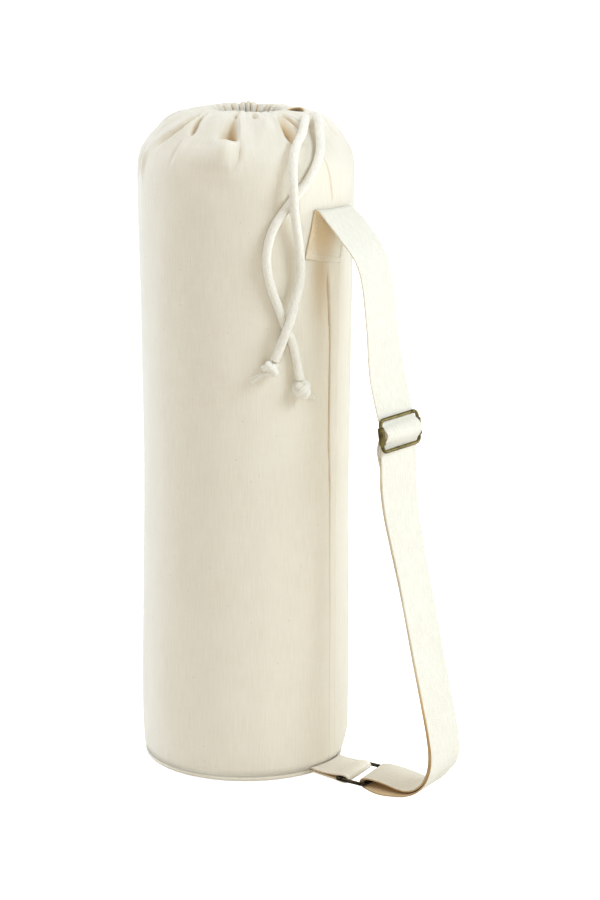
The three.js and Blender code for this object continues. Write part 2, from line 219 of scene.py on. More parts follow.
def add_node(tree: bpy.types.NodeTree, kind: str, settings: dict | None = None,
             **inputs: Feed) -> bpy.types.Node:
    """Adds a node to a tree.

    Args:
        tree: the tree.
        kind: the node's type.
        settings: the node's own options, by name.
        **inputs: a value or an output for each input, by its name with _ for a space, or by place as i0, i1.

    Returns:
        The new node.
    """
    node = tree.nodes.new(kind)
    for name, value in (settings or {}).items():
        setattr(node, name, value)
    for name, value in inputs.items():
        by_place = name[0] == "i" and name[1:].isdigit()
        feed(tree, node.inputs[int(name[1:]) if by_place else name.replace("_", " ")], value)
    return node


def maths(tree: bpy.types.NodeTree, operation: str, first: Feed, second: Feed = 0.0) -> bpy.types.NodeSocket:
    """Adds a Math node and returns its output."""
    return add_node(tree, "ShaderNodeMath", {"operation": operation}, i0=first, i1=second).outputs[0]


def blend(tree: bpy.types.NodeTree, share: Feed, first: Feed, second: Feed) -> bpy.types.NodeSocket:
    """Adds a colour mix and returns its output."""
    first, second = ((*colour, 1) if isinstance(colour, tuple) else colour for colour in (first, second))
    node = add_node(tree, "ShaderNodeMix", {"data_type": "RGBA"}, i0=share, i6=first, i7=second)
    return node.outputs[2]


def spread(tree: bpy.types.NodeTree, value: Feed, low: float, high: float,
           to_low: float = 0.0, to_high: float = 1.0) -> bpy.types.NodeSocket:
    """Adds a clamped Map Range and returns its output."""
    node = add_node(tree, "ShaderNodeMapRange", Value=value, From_Min=low, From_Max=high,
                    To_Min=to_low, To_Max=to_high)
    return node.outputs[0]


class GroupKind(Enum):
    """The effects that several finishes share."""

    WEAVE = "plain_weave"
    SLUBS = "yarn_slubs"
    FLECKS = "seed_flecks"


class SharedEffects:
    """Builds each shared effect once, as a node group."""

    yarn_share: float = 0.7
    over_share: float = 0.3
    warp_share: float = 0.8
    weft_share: float = 0.2

    def __init__(self) -> None:
        """Starts with no group built."""
        self.groups: dict[GroupKind, bpy.types.NodeTree] = {}

    def place(self, tree: bpy.types.NodeTree, kind: GroupKind, **inputs: Feed) -> bpy.types.Node:
        """Places a shared effect in a tree.

        Args:
            tree: the tree that uses it.
            kind: which effect.
            **inputs: its inputs, as in add_node.

        Returns:
            The group's node.
        """
        makers = {GroupKind.WEAVE: self.weave, GroupKind.SLUBS: self.slubs, GroupKind.FLECKS: self.flecks}
        if kind not in self.groups:
            self.groups[kind] = makers[kind]()
        return add_node(tree, "ShaderNodeGroup", {"node_tree": self.groups[kind]}, **inputs)

    @staticmethod
    def started(kind: GroupKind, inputs: dict[str, str],
                outputs: Sequence[str]) -> tuple[bpy.types.NodeTree, bpy.types.Node, bpy.types.Node]:
        """Starts a group.

        Args:
            kind: the effect.
            inputs: each input's socket type, by name.
            outputs: the names of its values.

        Returns:
            The group with its input and output nodes.
        """
        tree = bpy.data.node_groups.new(kind.value, "ShaderNodeTree")
        for name, socket in inputs.items():
            tree.interface.new_socket(name, in_out="INPUT", socket_type=socket)
        for name in outputs:
            tree.interface.new_socket(name, in_out="OUTPUT", socket_type="NodeSocketFloat")
        return tree, tree.nodes.new("NodeGroupInput"), tree.nodes.new("NodeGroupOutput")

    def weave(self) -> bpy.types.NodeTree:
        """Builds the over and under of a plain weave, as a height from 0 to 1."""
        tree, given, made = self.started(
            GroupKind.WEAVE,
            {"Threads": "NodeSocketVector", "Warp": "NodeSocketFloat", "Weft": "NodeSocketFloat"},
            ["Height"],
        )
        flat = add_node(tree, "ShaderNodeSeparateXYZ", Vector=given.outputs["Threads"])
        waves = []
        for axis, pitch in (("X", "Warp"), ("Y", "Weft")):
            turns = maths(tree, "DIVIDE", flat.outputs[axis], given.outputs[pitch])
            waves.append(maths(tree, "SINE", maths(tree, "MULTIPLY", turns, math.pi)))
        cross = maths(tree, "MULTIPLY", *waves)
        yarn = maths(tree, "SQRT", maths(tree, "ABSOLUTE", cross))
        over = maths(tree, "MULTIPLY", cross, self.over_share)
        height = maths(tree, "ADD", maths(tree, "MULTIPLY", yarn, self.yarn_share), over)
        tree.links.new(height, made.inputs["Height"])
        return tree

    def slubs(self) -> bpy.types.NodeTree:
        """Builds thick and thin places in the yarns, as a tone about 0.5."""
        tree, given, made = self.started(
            GroupKind.SLUBS,
            {"Threads": "NodeSocketVector", "Fineness": "NodeSocketFloat", "Stretch": "NodeSocketFloat"},
            ["Tone"],
        )
        flat = add_node(tree, "ShaderNodeSeparateXYZ", Vector=given.outputs["Threads"])
        fine = given.outputs["Fineness"]
        long = maths(tree, "DIVIDE", fine, given.outputs["Stretch"])
        tones = []
        for first, second in ((fine, long), (long, fine)):
            across = maths(tree, "MULTIPLY", flat.outputs["X"], first)
            along = maths(tree, "MULTIPLY", flat.outputs["Y"], second)
            place = add_node(tree, "ShaderNodeCombineXYZ", X=across, Y=along)
            streak = add_node(tree, "ShaderNodeTexNoise", Vector=place.outputs[0], Scale=1.0, Detail=2.0)
            tones.append(streak.outputs[0])
        warp = maths(tree, "MULTIPLY", tones[0], self.warp_share)
        tone = maths(tree, "ADD", warp, maths(tree, "MULTIPLY", tones[1], self.weft_share))
        tree.links.new(tone, made.inputs["Tone"])
        return tree

    def flecks(self) -> bpy.types.NodeTree:
        """Builds the odd specks of seed in natural cotton, as a mask."""
        tree, given, made = self.started(
            GroupKind.FLECKS,
            {"Place": "NodeSocketVector", "Cells": "NodeSocketFloat", "Share": "NodeSocketFloat",
             "Size": "NodeSocketFloat"},
            ["Mask"],
        )
        cells = add_node(tree, "ShaderNodeTexVoronoi", Vector=given.outputs["Place"],
                         Scale=given.outputs["Cells"])
        lot = add_node(tree, "ShaderNodeSeparateColor", Color=cells.outputs["Color"])
        drawn = maths(tree, "LESS_THAN", lot.outputs[0], given.outputs["Share"])
        apart = maths(tree, "DIVIDE", cells.outputs["Distance"], given.outputs["Size"])
        speck = add_node(tree, "ShaderNodeClamp", Value=maths(tree, "SUBTRACT", 1.0, apart))
        tree.links.new(maths(tree, "MULTIPLY", drawn, speck.outputs[0]), made.inputs["Mask"])
        return tree


EFFECTS = SharedEffects()


def started_material(name: str) -> tuple[bpy.types.Material, bpy.types.NodeTree, bpy.types.Node]:
    """Returns a new material, its tree and its Principled BSDF."""
    material = bpy.data.materials.new(name)
    material.use_nodes = True
    tree = material.node_tree
    return material, tree, tree.nodes["Principled BSDF"]


@dataclass(frozen=True)
class WovenFinish:
    """Cotton cloth or webbing, with its weave, slubs and flecks.

    Its painted shading map goes from -1, painted light, over 0, none, and 1, painted shade in creases, to 2,
    painted deep shadow.
    """

    name: str
    light: Colour
    deep: Colour
    # Colours for painted light, painted shade in creases and painted deep shadow
    painted_light: Colour
    painted_crease_shade: Colour
    shadowed: Colour
    fleck: Colour
    warp: float
    weft: float
    relief: float
    fineness: float
    stretch: float
    contrast: float
    fleck_share: float
    sheen: float
    sheen_rough: float = 0.5
    specular: float = 0.15
    rough: tuple[float, float] = (0.86, 0.97)
    bump: float = 0.55
    slub_relief: float = 0.8
    gap_share: float = 0.22
    gap_height: float = 0.35
    mottle_scale: float = 26.0
    mottle_range: tuple[float, float] = (0.35, 0.7)
    mottle_share: float = 0.35
    fleck_cells: float = 170.0
    fleck_size: float = 0.16
    fleck_strength: float = 0.6

    def material(self) -> bpy.types.Material:
        """Returns the cloth's material, on its thread map and object coordinates."""
        material, tree, surface = started_material(self.name)
        threads = add_node(tree, "ShaderNodeUVMap", {"uv_map": THREAD_MAP}).outputs["UV"]
        place = add_node(tree, "ShaderNodeTexCoord").outputs["Object"]
        slubs = EFFECTS.place(tree, GroupKind.SLUBS, Threads=threads, Fineness=self.fineness,
                              Stretch=self.stretch).outputs["Tone"]
        weave = EFFECTS.place(tree, GroupKind.WEAVE, Threads=threads, Warp=self.warp,
                              Weft=self.weft).outputs["Height"]
        mottle = add_node(tree, "ShaderNodeTexNoise", Vector=place, Scale=self.mottle_scale,
                          Detail=3.0).outputs[0]
        tone = spread(tree, slubs, 0.5 - self.contrast, 0.5 + self.contrast)
        cloth = blend(tree, tone, self.deep, self.light)
        paler = spread(tree, mottle, *self.mottle_range, 0.0, self.mottle_share)
        cloth = blend(tree, paler, cloth, self.light)
        gaps = spread(tree, weave, 0.0, self.gap_height, self.gap_share, 0.0)
        cloth = blend(tree, gaps, cloth, self.deep)
        specks = EFFECTS.place(tree, GroupKind.FLECKS, Place=place, Cells=self.fleck_cells,
                               Share=self.fleck_share, Size=self.fleck_size).outputs["Mask"]
        cloth = blend(tree, maths(tree, "MULTIPLY", specks, self.fleck_strength), cloth, self.fleck)
        # Painted light and shade from the vertex layer: paler first, then tan in creases, then dark brown in
        # deep shadow
        crease = add_node(tree, "ShaderNodeAttribute", {"attribute_name": PAINTED_SHADING_MAP}).outputs["Fac"]
        cloth = blend(tree, spread(tree, crease, -1.0, 0.0, 1.0, 0.0), cloth, self.painted_light)
        cloth = blend(tree, spread(tree, crease, 0.0, 1.0), cloth, self.painted_crease_shade)
        cloth = blend(tree, spread(tree, crease, 1.0, 2.0), cloth, self.shadowed)
        tree.links.new(cloth, surface.inputs["Base Color"])
        tree.links.new(spread(tree, mottle, *NOISE_RANGE, *self.rough), surface.inputs["Roughness"])
        height = maths(tree, "ADD", weave, maths(tree, "MULTIPLY", slubs, self.slub_relief))
        bump = add_node(tree, "ShaderNodeBump", Strength=self.bump, Distance=self.relief, Height=height)
        tree.links.new(bump.outputs[0], surface.inputs["Normal"])
        surface.inputs["Specular IOR Level"].default_value = self.specular
        surface.inputs["Sheen Weight"].default_value = self.sheen
        surface.inputs["Sheen Roughness"].default_value = self.sheen_rough
        return material


@dataclass(frozen=True)
class CordFinish:
    """Soft braided cotton, with fine fibres along its strands."""

    name: str
    light: Colour
    deep: Colour
    fibre: float = 0.0006
    fibre_stretch: float = 1.6
    fineness: float = 900.0
    stretch: float = 5.0
    slub_range: tuple[float, float] = (0.32, 0.62)
    lint_scale: float = 420.0
    rough: tuple[float, float] = (0.84, 0.98)
    bump: float = 0.5
    relief: float = 0.0003
    weave_relief: float = 0.5
    specular: float = 0.15
    sheen: float = 0.25

    def material(self) -> bpy.types.Material:
        """Returns the cord's material, on its thread map and object coordinates."""
        material, tree, surface = started_material(self.name)
        threads = add_node(tree, "ShaderNodeUVMap", {"uv_map": THREAD_MAP}).outputs["UV"]
        place = add_node(tree, "ShaderNodeTexCoord").outputs["Object"]
        weave = EFFECTS.place(tree, GroupKind.WEAVE, Threads=threads, Warp=self.fibre,
                              Weft=self.fibre * self.fibre_stretch).outputs["Height"]
        slubs = EFFECTS.place(tree, GroupKind.SLUBS, Threads=threads, Fineness=self.fineness,
                              Stretch=self.stretch).outputs["Tone"]
        lint = add_node(tree, "ShaderNodeTexNoise", Vector=place, Scale=self.lint_scale,
                        Detail=4.0).outputs[0]
        tone = spread(tree, slubs, *self.slub_range)
        cotton = blend(tree, tone, self.deep, self.light)
        tree.links.new(cotton, surface.inputs["Base Color"])
        tree.links.new(spread(tree, lint, *NOISE_RANGE, *self.rough), surface.inputs["Roughness"])
        height = maths(tree, "ADD", maths(tree, "MULTIPLY", weave, self.weave_relief), lint)
        bump = add_node(tree, "ShaderNodeBump", Strength=self.bump, Distance=self.relief, Height=height)
        tree.links.new(bump.outputs[0], surface.inputs["Normal"])
        surface.inputs["Specular IOR Level"].default_value = self.specular
        surface.inputs["Sheen Weight"].default_value = self.sheen
        return material


@dataclass(frozen=True)
class WireFinish:
    """Antiqued metal wire: a bright worn tone over a dark patina."""

    name: str
    worn: Colour
    patina: Colour
    wear: float
    rough: float
    rough_patina: float = 0.14
    rough_worn: float = -0.06
    rough_range: tuple[float, float] = (0.35, 0.65)
    blotch_scale: float = 95.0
    rub_scale: float = 900.0
    blotch_share: float = 0.75
    rub_share: float = 0.25
    bump: float = 0.25
    relief: float = 0.0002

    def material(self) -> bpy.types.Material:
        """Returns the wire's material, on object coordinates."""
        material, tree, surface = started_material(self.name)
        place = add_node(tree, "ShaderNodeTexCoord").outputs["Object"]
        blotch = add_node(tree, "ShaderNodeTexNoise", Vector=place, Scale=self.blotch_scale, Detail=5.0,
                          Roughness=0.6).outputs[0]
        rubbed = add_node(tree, "ShaderNodeTexNoise", Vector=place, Scale=self.rub_scale,
                          Detail=3.0).outputs[0]
        mixed = maths(tree, "ADD", maths(tree, "MULTIPLY", blotch, self.blotch_share),
                      maths(tree, "MULTIPLY", rubbed, self.rub_share))
        tone = spread(tree, mixed, 0.5 - self.wear, 0.62 - self.wear * 0.5)
        tree.links.new(blend(tree, tone, self.patina, self.worn), surface.inputs["Base Color"])
        dull, bright = self.rough + self.rough_patina, self.rough + self.rough_worn
        tree.links.new(spread(tree, mixed, *self.rough_range, dull, bright), surface.inputs["Roughness"])
        bump = add_node(tree, "ShaderNodeBump", Strength=self.bump, Distance=self.relief, Height=mixed)
        tree.links.new(bump.outputs[0], surface.inputs["Normal"])
        surface.inputs["Metallic"].default_value = 1.0
        return material


# Besides its own colours, each cloth has colours for painted light, painted crease shade and painted deep
# shadow
CANVAS = WovenFinish(
    name="natural_canvas", light=(0.83, 0.785, 0.67), deep=(0.765, 0.71, 0.59), painted_light=(0.95, 0.925, 0.85),
    painted_crease_shade=(0.60, 0.40, 0.155), shadowed=(0.16, 0.10, 0.055), fleck=(0.40, 0.30, 0.18), warp=0.0010,
    weft=0.0011, relief=0.00035, fineness=700.0, stretch=16.0, contrast=0.22, fleck_share=0.10, sheen=0.5,
)
WEBBING = WovenFinish(
    name="ribbed_webbing", light=(0.84, 0.815, 0.725), deep=(0.75, 0.715, 0.61), painted_light=(0.96, 0.92, 0.80),
    painted_crease_shade=(0.78, 0.57, 0.31), shadowed=(0.22, 0.12, 0.06), fleck=(0.55, 0.46, 0.33), warp=0.0014,
    weft=0.0022, relief=0.0006, fineness=620.0, stretch=7.0, contrast=0.2, fleck_share=0.04, sheen=0.15,
)
COTTON = CordFinish(name="braided_cotton", light=(0.87, 0.845, 0.765), deep=(0.76, 0.72, 0.61))
BRASS = WireFinish(name="antique_brass_wire", worn=(0.22, 0.18, 0.07), patina=(0.07, 0.052, 0.02), wear=0.12,
                   rough=0.44)
DARK_WIRE = WireFinish(name="dark_antique_wire", worn=(0.10, 0.08, 0.05), patina=(0.02, 0.016, 0.012),
                       wear=0.06, rough=0.34)


# Studio


@dataclass(frozen=True)
class Softbox:
    """A square studio light, placed by its angles from the camera's side of the bag."""

    name: str
    azimuth: float
    elevation: float
    power: float
    colour: Colour
    size: float = 1.2
    distance: float = 2.6


@dataclass
class Studio:
    """The camera at the photograph's angle, a white floor and soft lights."""

    camera_azimuth: float = 37.0
    camera_distance: float = 3.35
    camera_height: float = 1.173
    yaw: float = 36.089
    pitch: float = 14.421
    roll: float = 0.25
    lens: float = 140.0
    far_clip: float = 200.0
    aim: Spot = (0.03, 0.0, 0.36)
    floor_size: float = 60.0
    floor_drop: float = 0.0004
    floor_colour: Colour = (0.86, 0.84, 0.8)
    floor_rough: float = 0.9
    ambient: Colour = (1.0, 0.90, 0.76)
    ambient_strength: float = 0.32
    glow: float = 1.0
    softboxes: tuple[Softbox, ...] = (
        Softbox("key", azimuth=60, elevation=35, power=33.5, colour=(0.86, 1.01, 1.15), size=1.1),
        Softbox("side", azimuth=90, elevation=8, power=20.5, colour=(0.96, 1.0, 1.04), size=0.9),
        Softbox("front", azimuth=5, elevation=8, power=10, colour=(1.13, 1.0, 0.83)),
        Softbox("left_rim", azimuth=-120, elevation=8, power=25, colour=(0.88, 1.01, 1.19)),
        Softbox("back_rim", azimuth=-150, elevation=8, power=10, colour=(0.70, 1.0, 1.35)),
        Softbox("left_top", azimuth=-120, elevation=60, power=14.5, colour=(0.95, 1.0, 1.08)),
        Softbox("top", azimuth=-60, elevation=60, power=19.5, colour=(0.92, 1.01, 1.13)),
        Softbox("back", azimuth=180, elevation=35, power=11, colour=(1.18, 1.0, 0.78)),
    )

    def build(self) -> None:
        """Builds the camera, the floor and the lights."""
        self.build_camera()
        self.build_floor()
        self.build_ambient()
        for box in self.softboxes:
            self.build_softbox(box)

    def build_camera(self) -> None:
        """Places the camera."""
        azimuth, yaw, pitch, roll = map(math.radians, (self.camera_azimuth, self.yaw, self.pitch, self.roll))
        back = Vector((math.sin(yaw) * math.cos(pitch), -math.cos(yaw) * math.cos(pitch), math.sin(pitch)))
        level = Vector((math.cos(yaw), math.sin(yaw), 0))
        above = back.cross(level)
        right = level * math.cos(roll) + above * math.sin(roll)
        up = above * math.cos(roll) - level * math.sin(roll)
        place = Matrix((right, up, back)).transposed().to_4x4()
        away = self.camera_distance
        place.translation = (away * math.sin(azimuth), -away * math.cos(azimuth), self.camera_height)
        data = bpy.data.cameras.new("photo_camera")
        data.lens = self.lens
        data.clip_end = self.far_clip
        camera = bpy.data.objects.new("photo_camera", data)
        camera.matrix_world = place
        bpy.context.scene.collection.objects.link(camera)
        bpy.context.scene.camera = camera
        bpy.context.scene.view_settings.view_transform = "Standard"

    def build_floor(self) -> None:
        """Builds the white floor, which looks as bright as a lit sweep without lighting the bag."""
        bm = bmesh.new()
        bmesh.ops.create_grid(bm, x_segments=8, y_segments=8, size=self.floor_size / 2)
        bmesh.ops.translate(bm, verts=bm.verts, vec=(0, 0, -self.floor_drop))
        mesh = bpy.data.meshes.new("floor")
        bm.to_mesh(mesh)
        bm.free()
        material, tree, surface = started_material("white_sweep")
        surface.inputs["Base Color"].default_value = (*self.floor_colour, 1)
        surface.inputs["Roughness"].default_value = self.floor_rough
        surface.inputs["Specular IOR Level"].default_value = 0.0
        surface.inputs["Emission Color"].default_value = (1, 1, 1, 1)
        seen = add_node(tree, "ShaderNodeLightPath").outputs["Is Camera Ray"]
        tree.links.new(maths(tree, "MULTIPLY", seen, self.glow), surface.inputs["Emission Strength"])
        mesh.materials.append(material)
        floor = bpy.data.objects.new("floor", mesh)
        bpy.context.scene.collection.objects.link(floor)

    def build_ambient(self) -> None:
        """Sets the soft light from all round."""
        world = bpy.data.worlds.new("studio")
        world.use_nodes = True
        tree = world.node_tree
        sky = tree.nodes["Background"]
        seen = add_node(tree, "ShaderNodeLightPath").outputs["Is Camera Ray"]
        tree.links.new(blend(tree, seen, self.ambient, (1.0, 1.0, 1.0)), sky.inputs["Color"])
        tree.links.new(spread(tree, seen, 0.0, 1.0, self.ambient_strength, 1.0), sky.inputs["Strength"])
        bpy.context.scene.world = world

    def build_softbox(self, box: Softbox) -> None:
        """Places one softbox, aimed at the bag."""
        azimuth, turn, rise = map(math.radians, (self.camera_azimuth, box.azimuth, box.elevation))
        toward = Vector((math.sin(azimuth), -math.cos(azimuth), 0))
        right = Vector((math.cos(azimuth), math.sin(azimuth), 0))
        level = right * math.sin(turn) + toward * math.cos(turn)
        direction = level * math.cos(rise) + Vector((0, 0, math.sin(rise)))
        data = bpy.data.lights.new(box.name, "AREA")
        data.size = box.size
        data.energy = box.power
        data.color = box.colour
        light = bpy.data.objects.new(box.name, data)
        light.location = Vector(self.aim) + direction * box.distance
        light.rotation_euler = direction.to_track_quat("Z", "Y").to_euler()
        bpy.context.scene.collection.objects.link(light)


# Drawstring


@dataclass(frozen=True)
class CordEnd:
    """A free end of the drawstring: its route from inside the hem to its knot, and the knot's pose."""

    side: str
    hidden: Spot
    route: tuple[Spot, ...]
    knot_centre: Spot
    knot_axis: Spot
    knot_turn: float
    knot_spread: float
    tail_length: float
    tail_fan: float
    tail_strands: int
    strand_thick: float


LEFT_END = CordEnd(
    side="left",
    hidden=(0.0580, 0.0170, 0.6440),
    route=(
        (0.0645, 0.0085, 0.6475),
        (0.0744, -0.0055, 0.6474),
        (0.0790, -0.0135, 0.6452),
        (0.0855, -0.0255, 0.6390),
        (0.0890, -0.0380, 0.6315),
        (0.0930, -0.0480, 0.6240),
        (0.0960, -0.0540, 0.6165),
        (0.0995, -0.0590, 0.6055),
        (0.1023, -0.0618, 0.5935),
        (0.1023, -0.0613, 0.5810),
        (0.1010, -0.0580, 0.5680),
        (0.1010, -0.0555, 0.5565),
        (0.1015, -0.0510, 0.5335),
        (0.1020, -0.0495, 0.5170),
        (0.1020, -0.0500, 0.5040),
        (0.1010, -0.0555, 0.4860),
        (0.0994, -0.0630, 0.4645),
        (0.0973, -0.0663, 0.4550),
        (0.0930, -0.0675, 0.4435),
        (0.0895, -0.0690, 0.4335),
        (0.0871, -0.0704, 0.4268),
    ),
    knot_centre=(0.0845, -0.0740, 0.4185),
    knot_axis=(-9, -10, -7.5),
    knot_turn=35,
    knot_spread=1.0,
    tail_length=0.017,
    tail_fan=13,
    tail_strands=16,
    strand_thick=0.0007,
)
RIGHT_END = CordEnd(
    side="right",
    hidden=(0.0660, 0.0170, 0.6450),
    route=(
        (0.0730, 0.0125, 0.6495),
        (0.0790, 0.0080, 0.6495),
        (0.0845, 0.0030, 0.6455),
        (0.0898, -0.0038, 0.6390),
        (0.0970, -0.0115, 0.6290),
        (0.1020, -0.0210, 0.6185),
        (0.1035, -0.0285, 0.6100),
        (0.1030, -0.0350, 0.6025),
        (0.1010, -0.0420, 0.5935),
        (0.0995, -0.0475, 0.5885),
        (0.0975, -0.0510, 0.5840),
        (0.0925, -0.0590, 0.5730),
        (0.0860, -0.0695, 0.5565),
        (0.0825, -0.0745, 0.5400),
        (0.0815, -0.0760, 0.5245),
        (0.0825, -0.0740, 0.5070),
        (0.0845, -0.0685, 0.4890),
        (0.0885, -0.0630, 0.4720),
        (0.0905, -0.0590, 0.4600),
        (0.0945, -0.0530, 0.4440),
        (0.0970, -0.0495, 0.4280),
        (0.0990, -0.0485, 0.4155),
        (0.1009, -0.0478, 0.4062),
    ),
    knot_centre=(0.1020, -0.0475, 0.3975),
    knot_axis=(1, 25.8, -15.5),
    knot_turn=110,
    knot_spread=1.14,
    tail_length=0.026,
    tail_fan=1.5,
    tail_strands=6,
    strand_thick=0.0013,
)


@dataclass
class Drawstring:
    """The two free ends of the drawstring, each with an overhand knot and a frayed tail."""

    finish: bpy.types.Material
    ends: tuple[CordEnd, ...] = (LEFT_END, RIGHT_END)
    diameter: float = 0.0085
    spacing: float = 0.0007
    sides: int = 40
    strands: int = 8
    braid_length: float = 0.0052
    braid_relief: float = 0.00035
    # The share of a sample by which a closed end stands past its last ring
    end_bulge: float = 0.02
    knot_tube: float = 0.0037
    knot_sides: int = 28
    # How thin the cord gets where it leaves the knot, and over how many samples
    knot_fade: float = 0.42
    fade_samples: int = 14
    # The frayed strands: their spread and depth in the knot, their uneven lengths, their bends, the shares by
    # which they thin and overlap, and the angle past which an edge is a cap's
    tail_root: float = 0.0012
    tail_sunk: float = 0.003
    tail_mean: float = 0.78
    tail_uneven: float = 0.22
    tail_bend: float = 0.0006
    tail_thin: float = 0.75
    tip_thin: float = 0.36
    tail_overlap: float = 1.04
    strand_sides: int = 6
    cap_angle: float = 1.3
    # An overhand knot about its own axis, in millimetres: the cord comes in, takes a turn and a half round
    # itself and leaves through the turn as the tail
    knot_route: tuple[Spot, ...] = (
        (0.4, 0.2, -9.0),
        (0.6, 0.2, -5.6),
        (1.4, 0.8, -1.0),
        (1.2, 3.4, 3.4),
        (-2.4, 4.6, 4.2),
        (-4.9, 1.2, 2.0),
        (-3.4, -3.6, -1.2),
        (1.0, -5.0, -2.6),
        (4.8, -2.2, -1.8),
        (4.6, 2.6, 0.2),
        (1.2, 4.4, -2.2),
        (-2.6, 2.2, -2.6),
        (-2.4, -1.6, 1.4),
        (-0.6, -1.6, 4.6),
        (0.0, 0.0, 8.0),
    )

    def build(self) -> None:
        """Builds both ends, each with its knot and tail."""
        for end in self.ends:
            knot = self.build_knot(end)
            self.build_end(end)

    def braided_tube(self, line: Points, radii: Points, sides: int) -> bmesh.types.BMesh:
        """Makes a braided cord round a line.

        Args:
            line: the middle of the cord, evenly spaced.
            radii: the cord's radius at each point of the line, 0 at both ends to close it.
            sides: the faces round it.

        Returns:
            The closed tube, with its threads laid round and along it.
        """
        tangents = np.gradient(line, axis=0)
        tangents /= np.linalg.norm(tangents, axis=1)[:, None]
        aside = np.cross(tangents[0], (0.0, 0.0, 1.0) if abs(tangents[0][2]) < 0.8 else (1.0, 0.0, 0.0))
        asides = []
        for tangent in tangents:
            aside = aside - tangent * (aside @ tangent)
            aside = aside / np.linalg.norm(aside)
            asides.append(aside)
        asides = np.array(asides)
        others = np.cross(tangents, asides)
        along_line = np.concatenate([[0], np.cumsum(np.linalg.norm(np.diff(line, axis=0), axis=1))])
        last = len(line) - 1

        def place(across: Points, along: Points) -> Points:
            """Returns the points of the cord's surface, raised where a strand passes over."""
            row = np.rint(along * last).astype(int)
            turn = 2 * np.pi * across
            lead = self.strands * across
            run = along_line[row] / self.braid_length
            bumps = np.sqrt(np.abs(np.sin(np.pi * (lead + run)) * np.sin(np.pi * (lead - run))))
            radius = radii[row] + self.braid_relief * (bumps - 0.5) * (radii[row] > 0)
            out = asides[row] * np.cos(turn)[:, None] + others[row] * np.sin(turn)[:, None]
            return line[row] + out * radius[:, None]

        def threads(across: Points, along: Points) -> Points:
            """Returns the distances round and along the cord."""
            row = np.rint(along * last).astype(int)
            return np.stack([across * np.pi * self.diameter, along_line[row]], axis=1)

        return wrapped_grid(sides, last, place, threads)

    def build_end(self, end: CordEnd) -> None:
        line = smooth_curve(np.array((end.hidden, *end.route)), self.spacing)
        line = np.vstack([line[:1], line, line[-1:]])
        line[0] -= (line[2] - line[1]) * self.end_bulge
        line[-1] += (line[-2] - line[-3]) * self.end_bulge
        radii = np.full(len(line), self.diameter / 2)
        radii[[0, -1]] = 0
        tube = self.braided_tube(line, radii, self.sides)
        piece = shown(tube, f"cord_{end.side}", self.finish, [f"drawstring_{end.side}"])

    def build_knot(self, end: CordEnd) -> bpy.types.Object:
        """Builds one overhand knot with its frayed tail, and returns it."""
        widen = np.array((end.knot_spread, end.knot_spread, 1))
        line = smooth_curve(np.array(self.knot_route) * widen / 1000, self.spacing)
        radii = np.full(len(line), self.knot_tube)
        radii[-self.fade_samples:] *= np.linspace(1, self.knot_fade, self.fade_samples)
        radii[[0, -1]] = 0
        bm = self.braided_tube(line, radii, self.knot_sides)
        self.add_tail(bm, end)
        axis = Vector(end.knot_axis).normalized()
        turn = axis.to_track_quat("Z", "Y").to_matrix().to_4x4()
        spin = Matrix.Rotation(math.radians(end.knot_turn), 4, "Z")
        bmesh.ops.transform(bm, matrix=Matrix.Translation(end.knot_centre) @ turn @ spin, verts=bm.verts)
        return shown(bm, f"knot_{end.side}_tied", self.finish, [f"knot_{end.side}"])

    def add_tail(self, bm: bmesh.types.BMesh, end: CordEnd) -> None:
        """Adds the frayed strands past a knot, along its axis.

        Args:
            bm: the knot's mesh, which takes them.
            end: the end that the knot is on.
        """
        start = self.knot_route[-1][2] / 1000 - self.tail_sunk
        golden = math.pi * (3 - math.sqrt(5))
        for i in range(end.tail_strands):
            share = math.sqrt((i + 0.5) / end.tail_strands)
            turn = i * golden
            fan = math.radians(end.tail_fan) * share
            out = Vector((math.cos(turn), math.sin(turn), 0))
            root = out * self.tail_root * share + Vector((0, 0, start))
            reach = end.tail_length * (self.tail_mean + self.tail_uneven * math.cos(3.1 * i))
            tip = root + (out * math.sin(fan) + Vector((0, 0, math.cos(fan)))) * reach
            bend = (root + tip) / 2 + out * self.tail_bend * math.sin(5 * i)
            for low, high, thin in ((root, bend, 1.0), (bend, tip, self.tail_thin)):
                run = high - low
                turned = run.to_track_quat("Z", "Y").to_matrix().to_4x4()
                made = bmesh.ops.create_cone(
                    bm, cap_ends=True, segments=self.strand_sides, radius1=end.strand_thick * thin / 2,
                    radius2=end.strand_thick * thin * self.tip_thin, depth=run.length * self.tail_overlap,
                    matrix=Matrix.Translation((low + high) / 2) @ turned)
                for edge in {edge for vert in made["verts"] for edge in vert.link_edges}:
                    edge.smooth = edge.calc_face_angle() < self.cap_angle


# Canvas bag


@dataclass(frozen=True)
class Section:
    """A level of the bag's cloth: its size, the height of its small pleats, and its share of the spout."""

    radius: float
    height: float
    gather: float = 0.0
    spout: float = 0.0


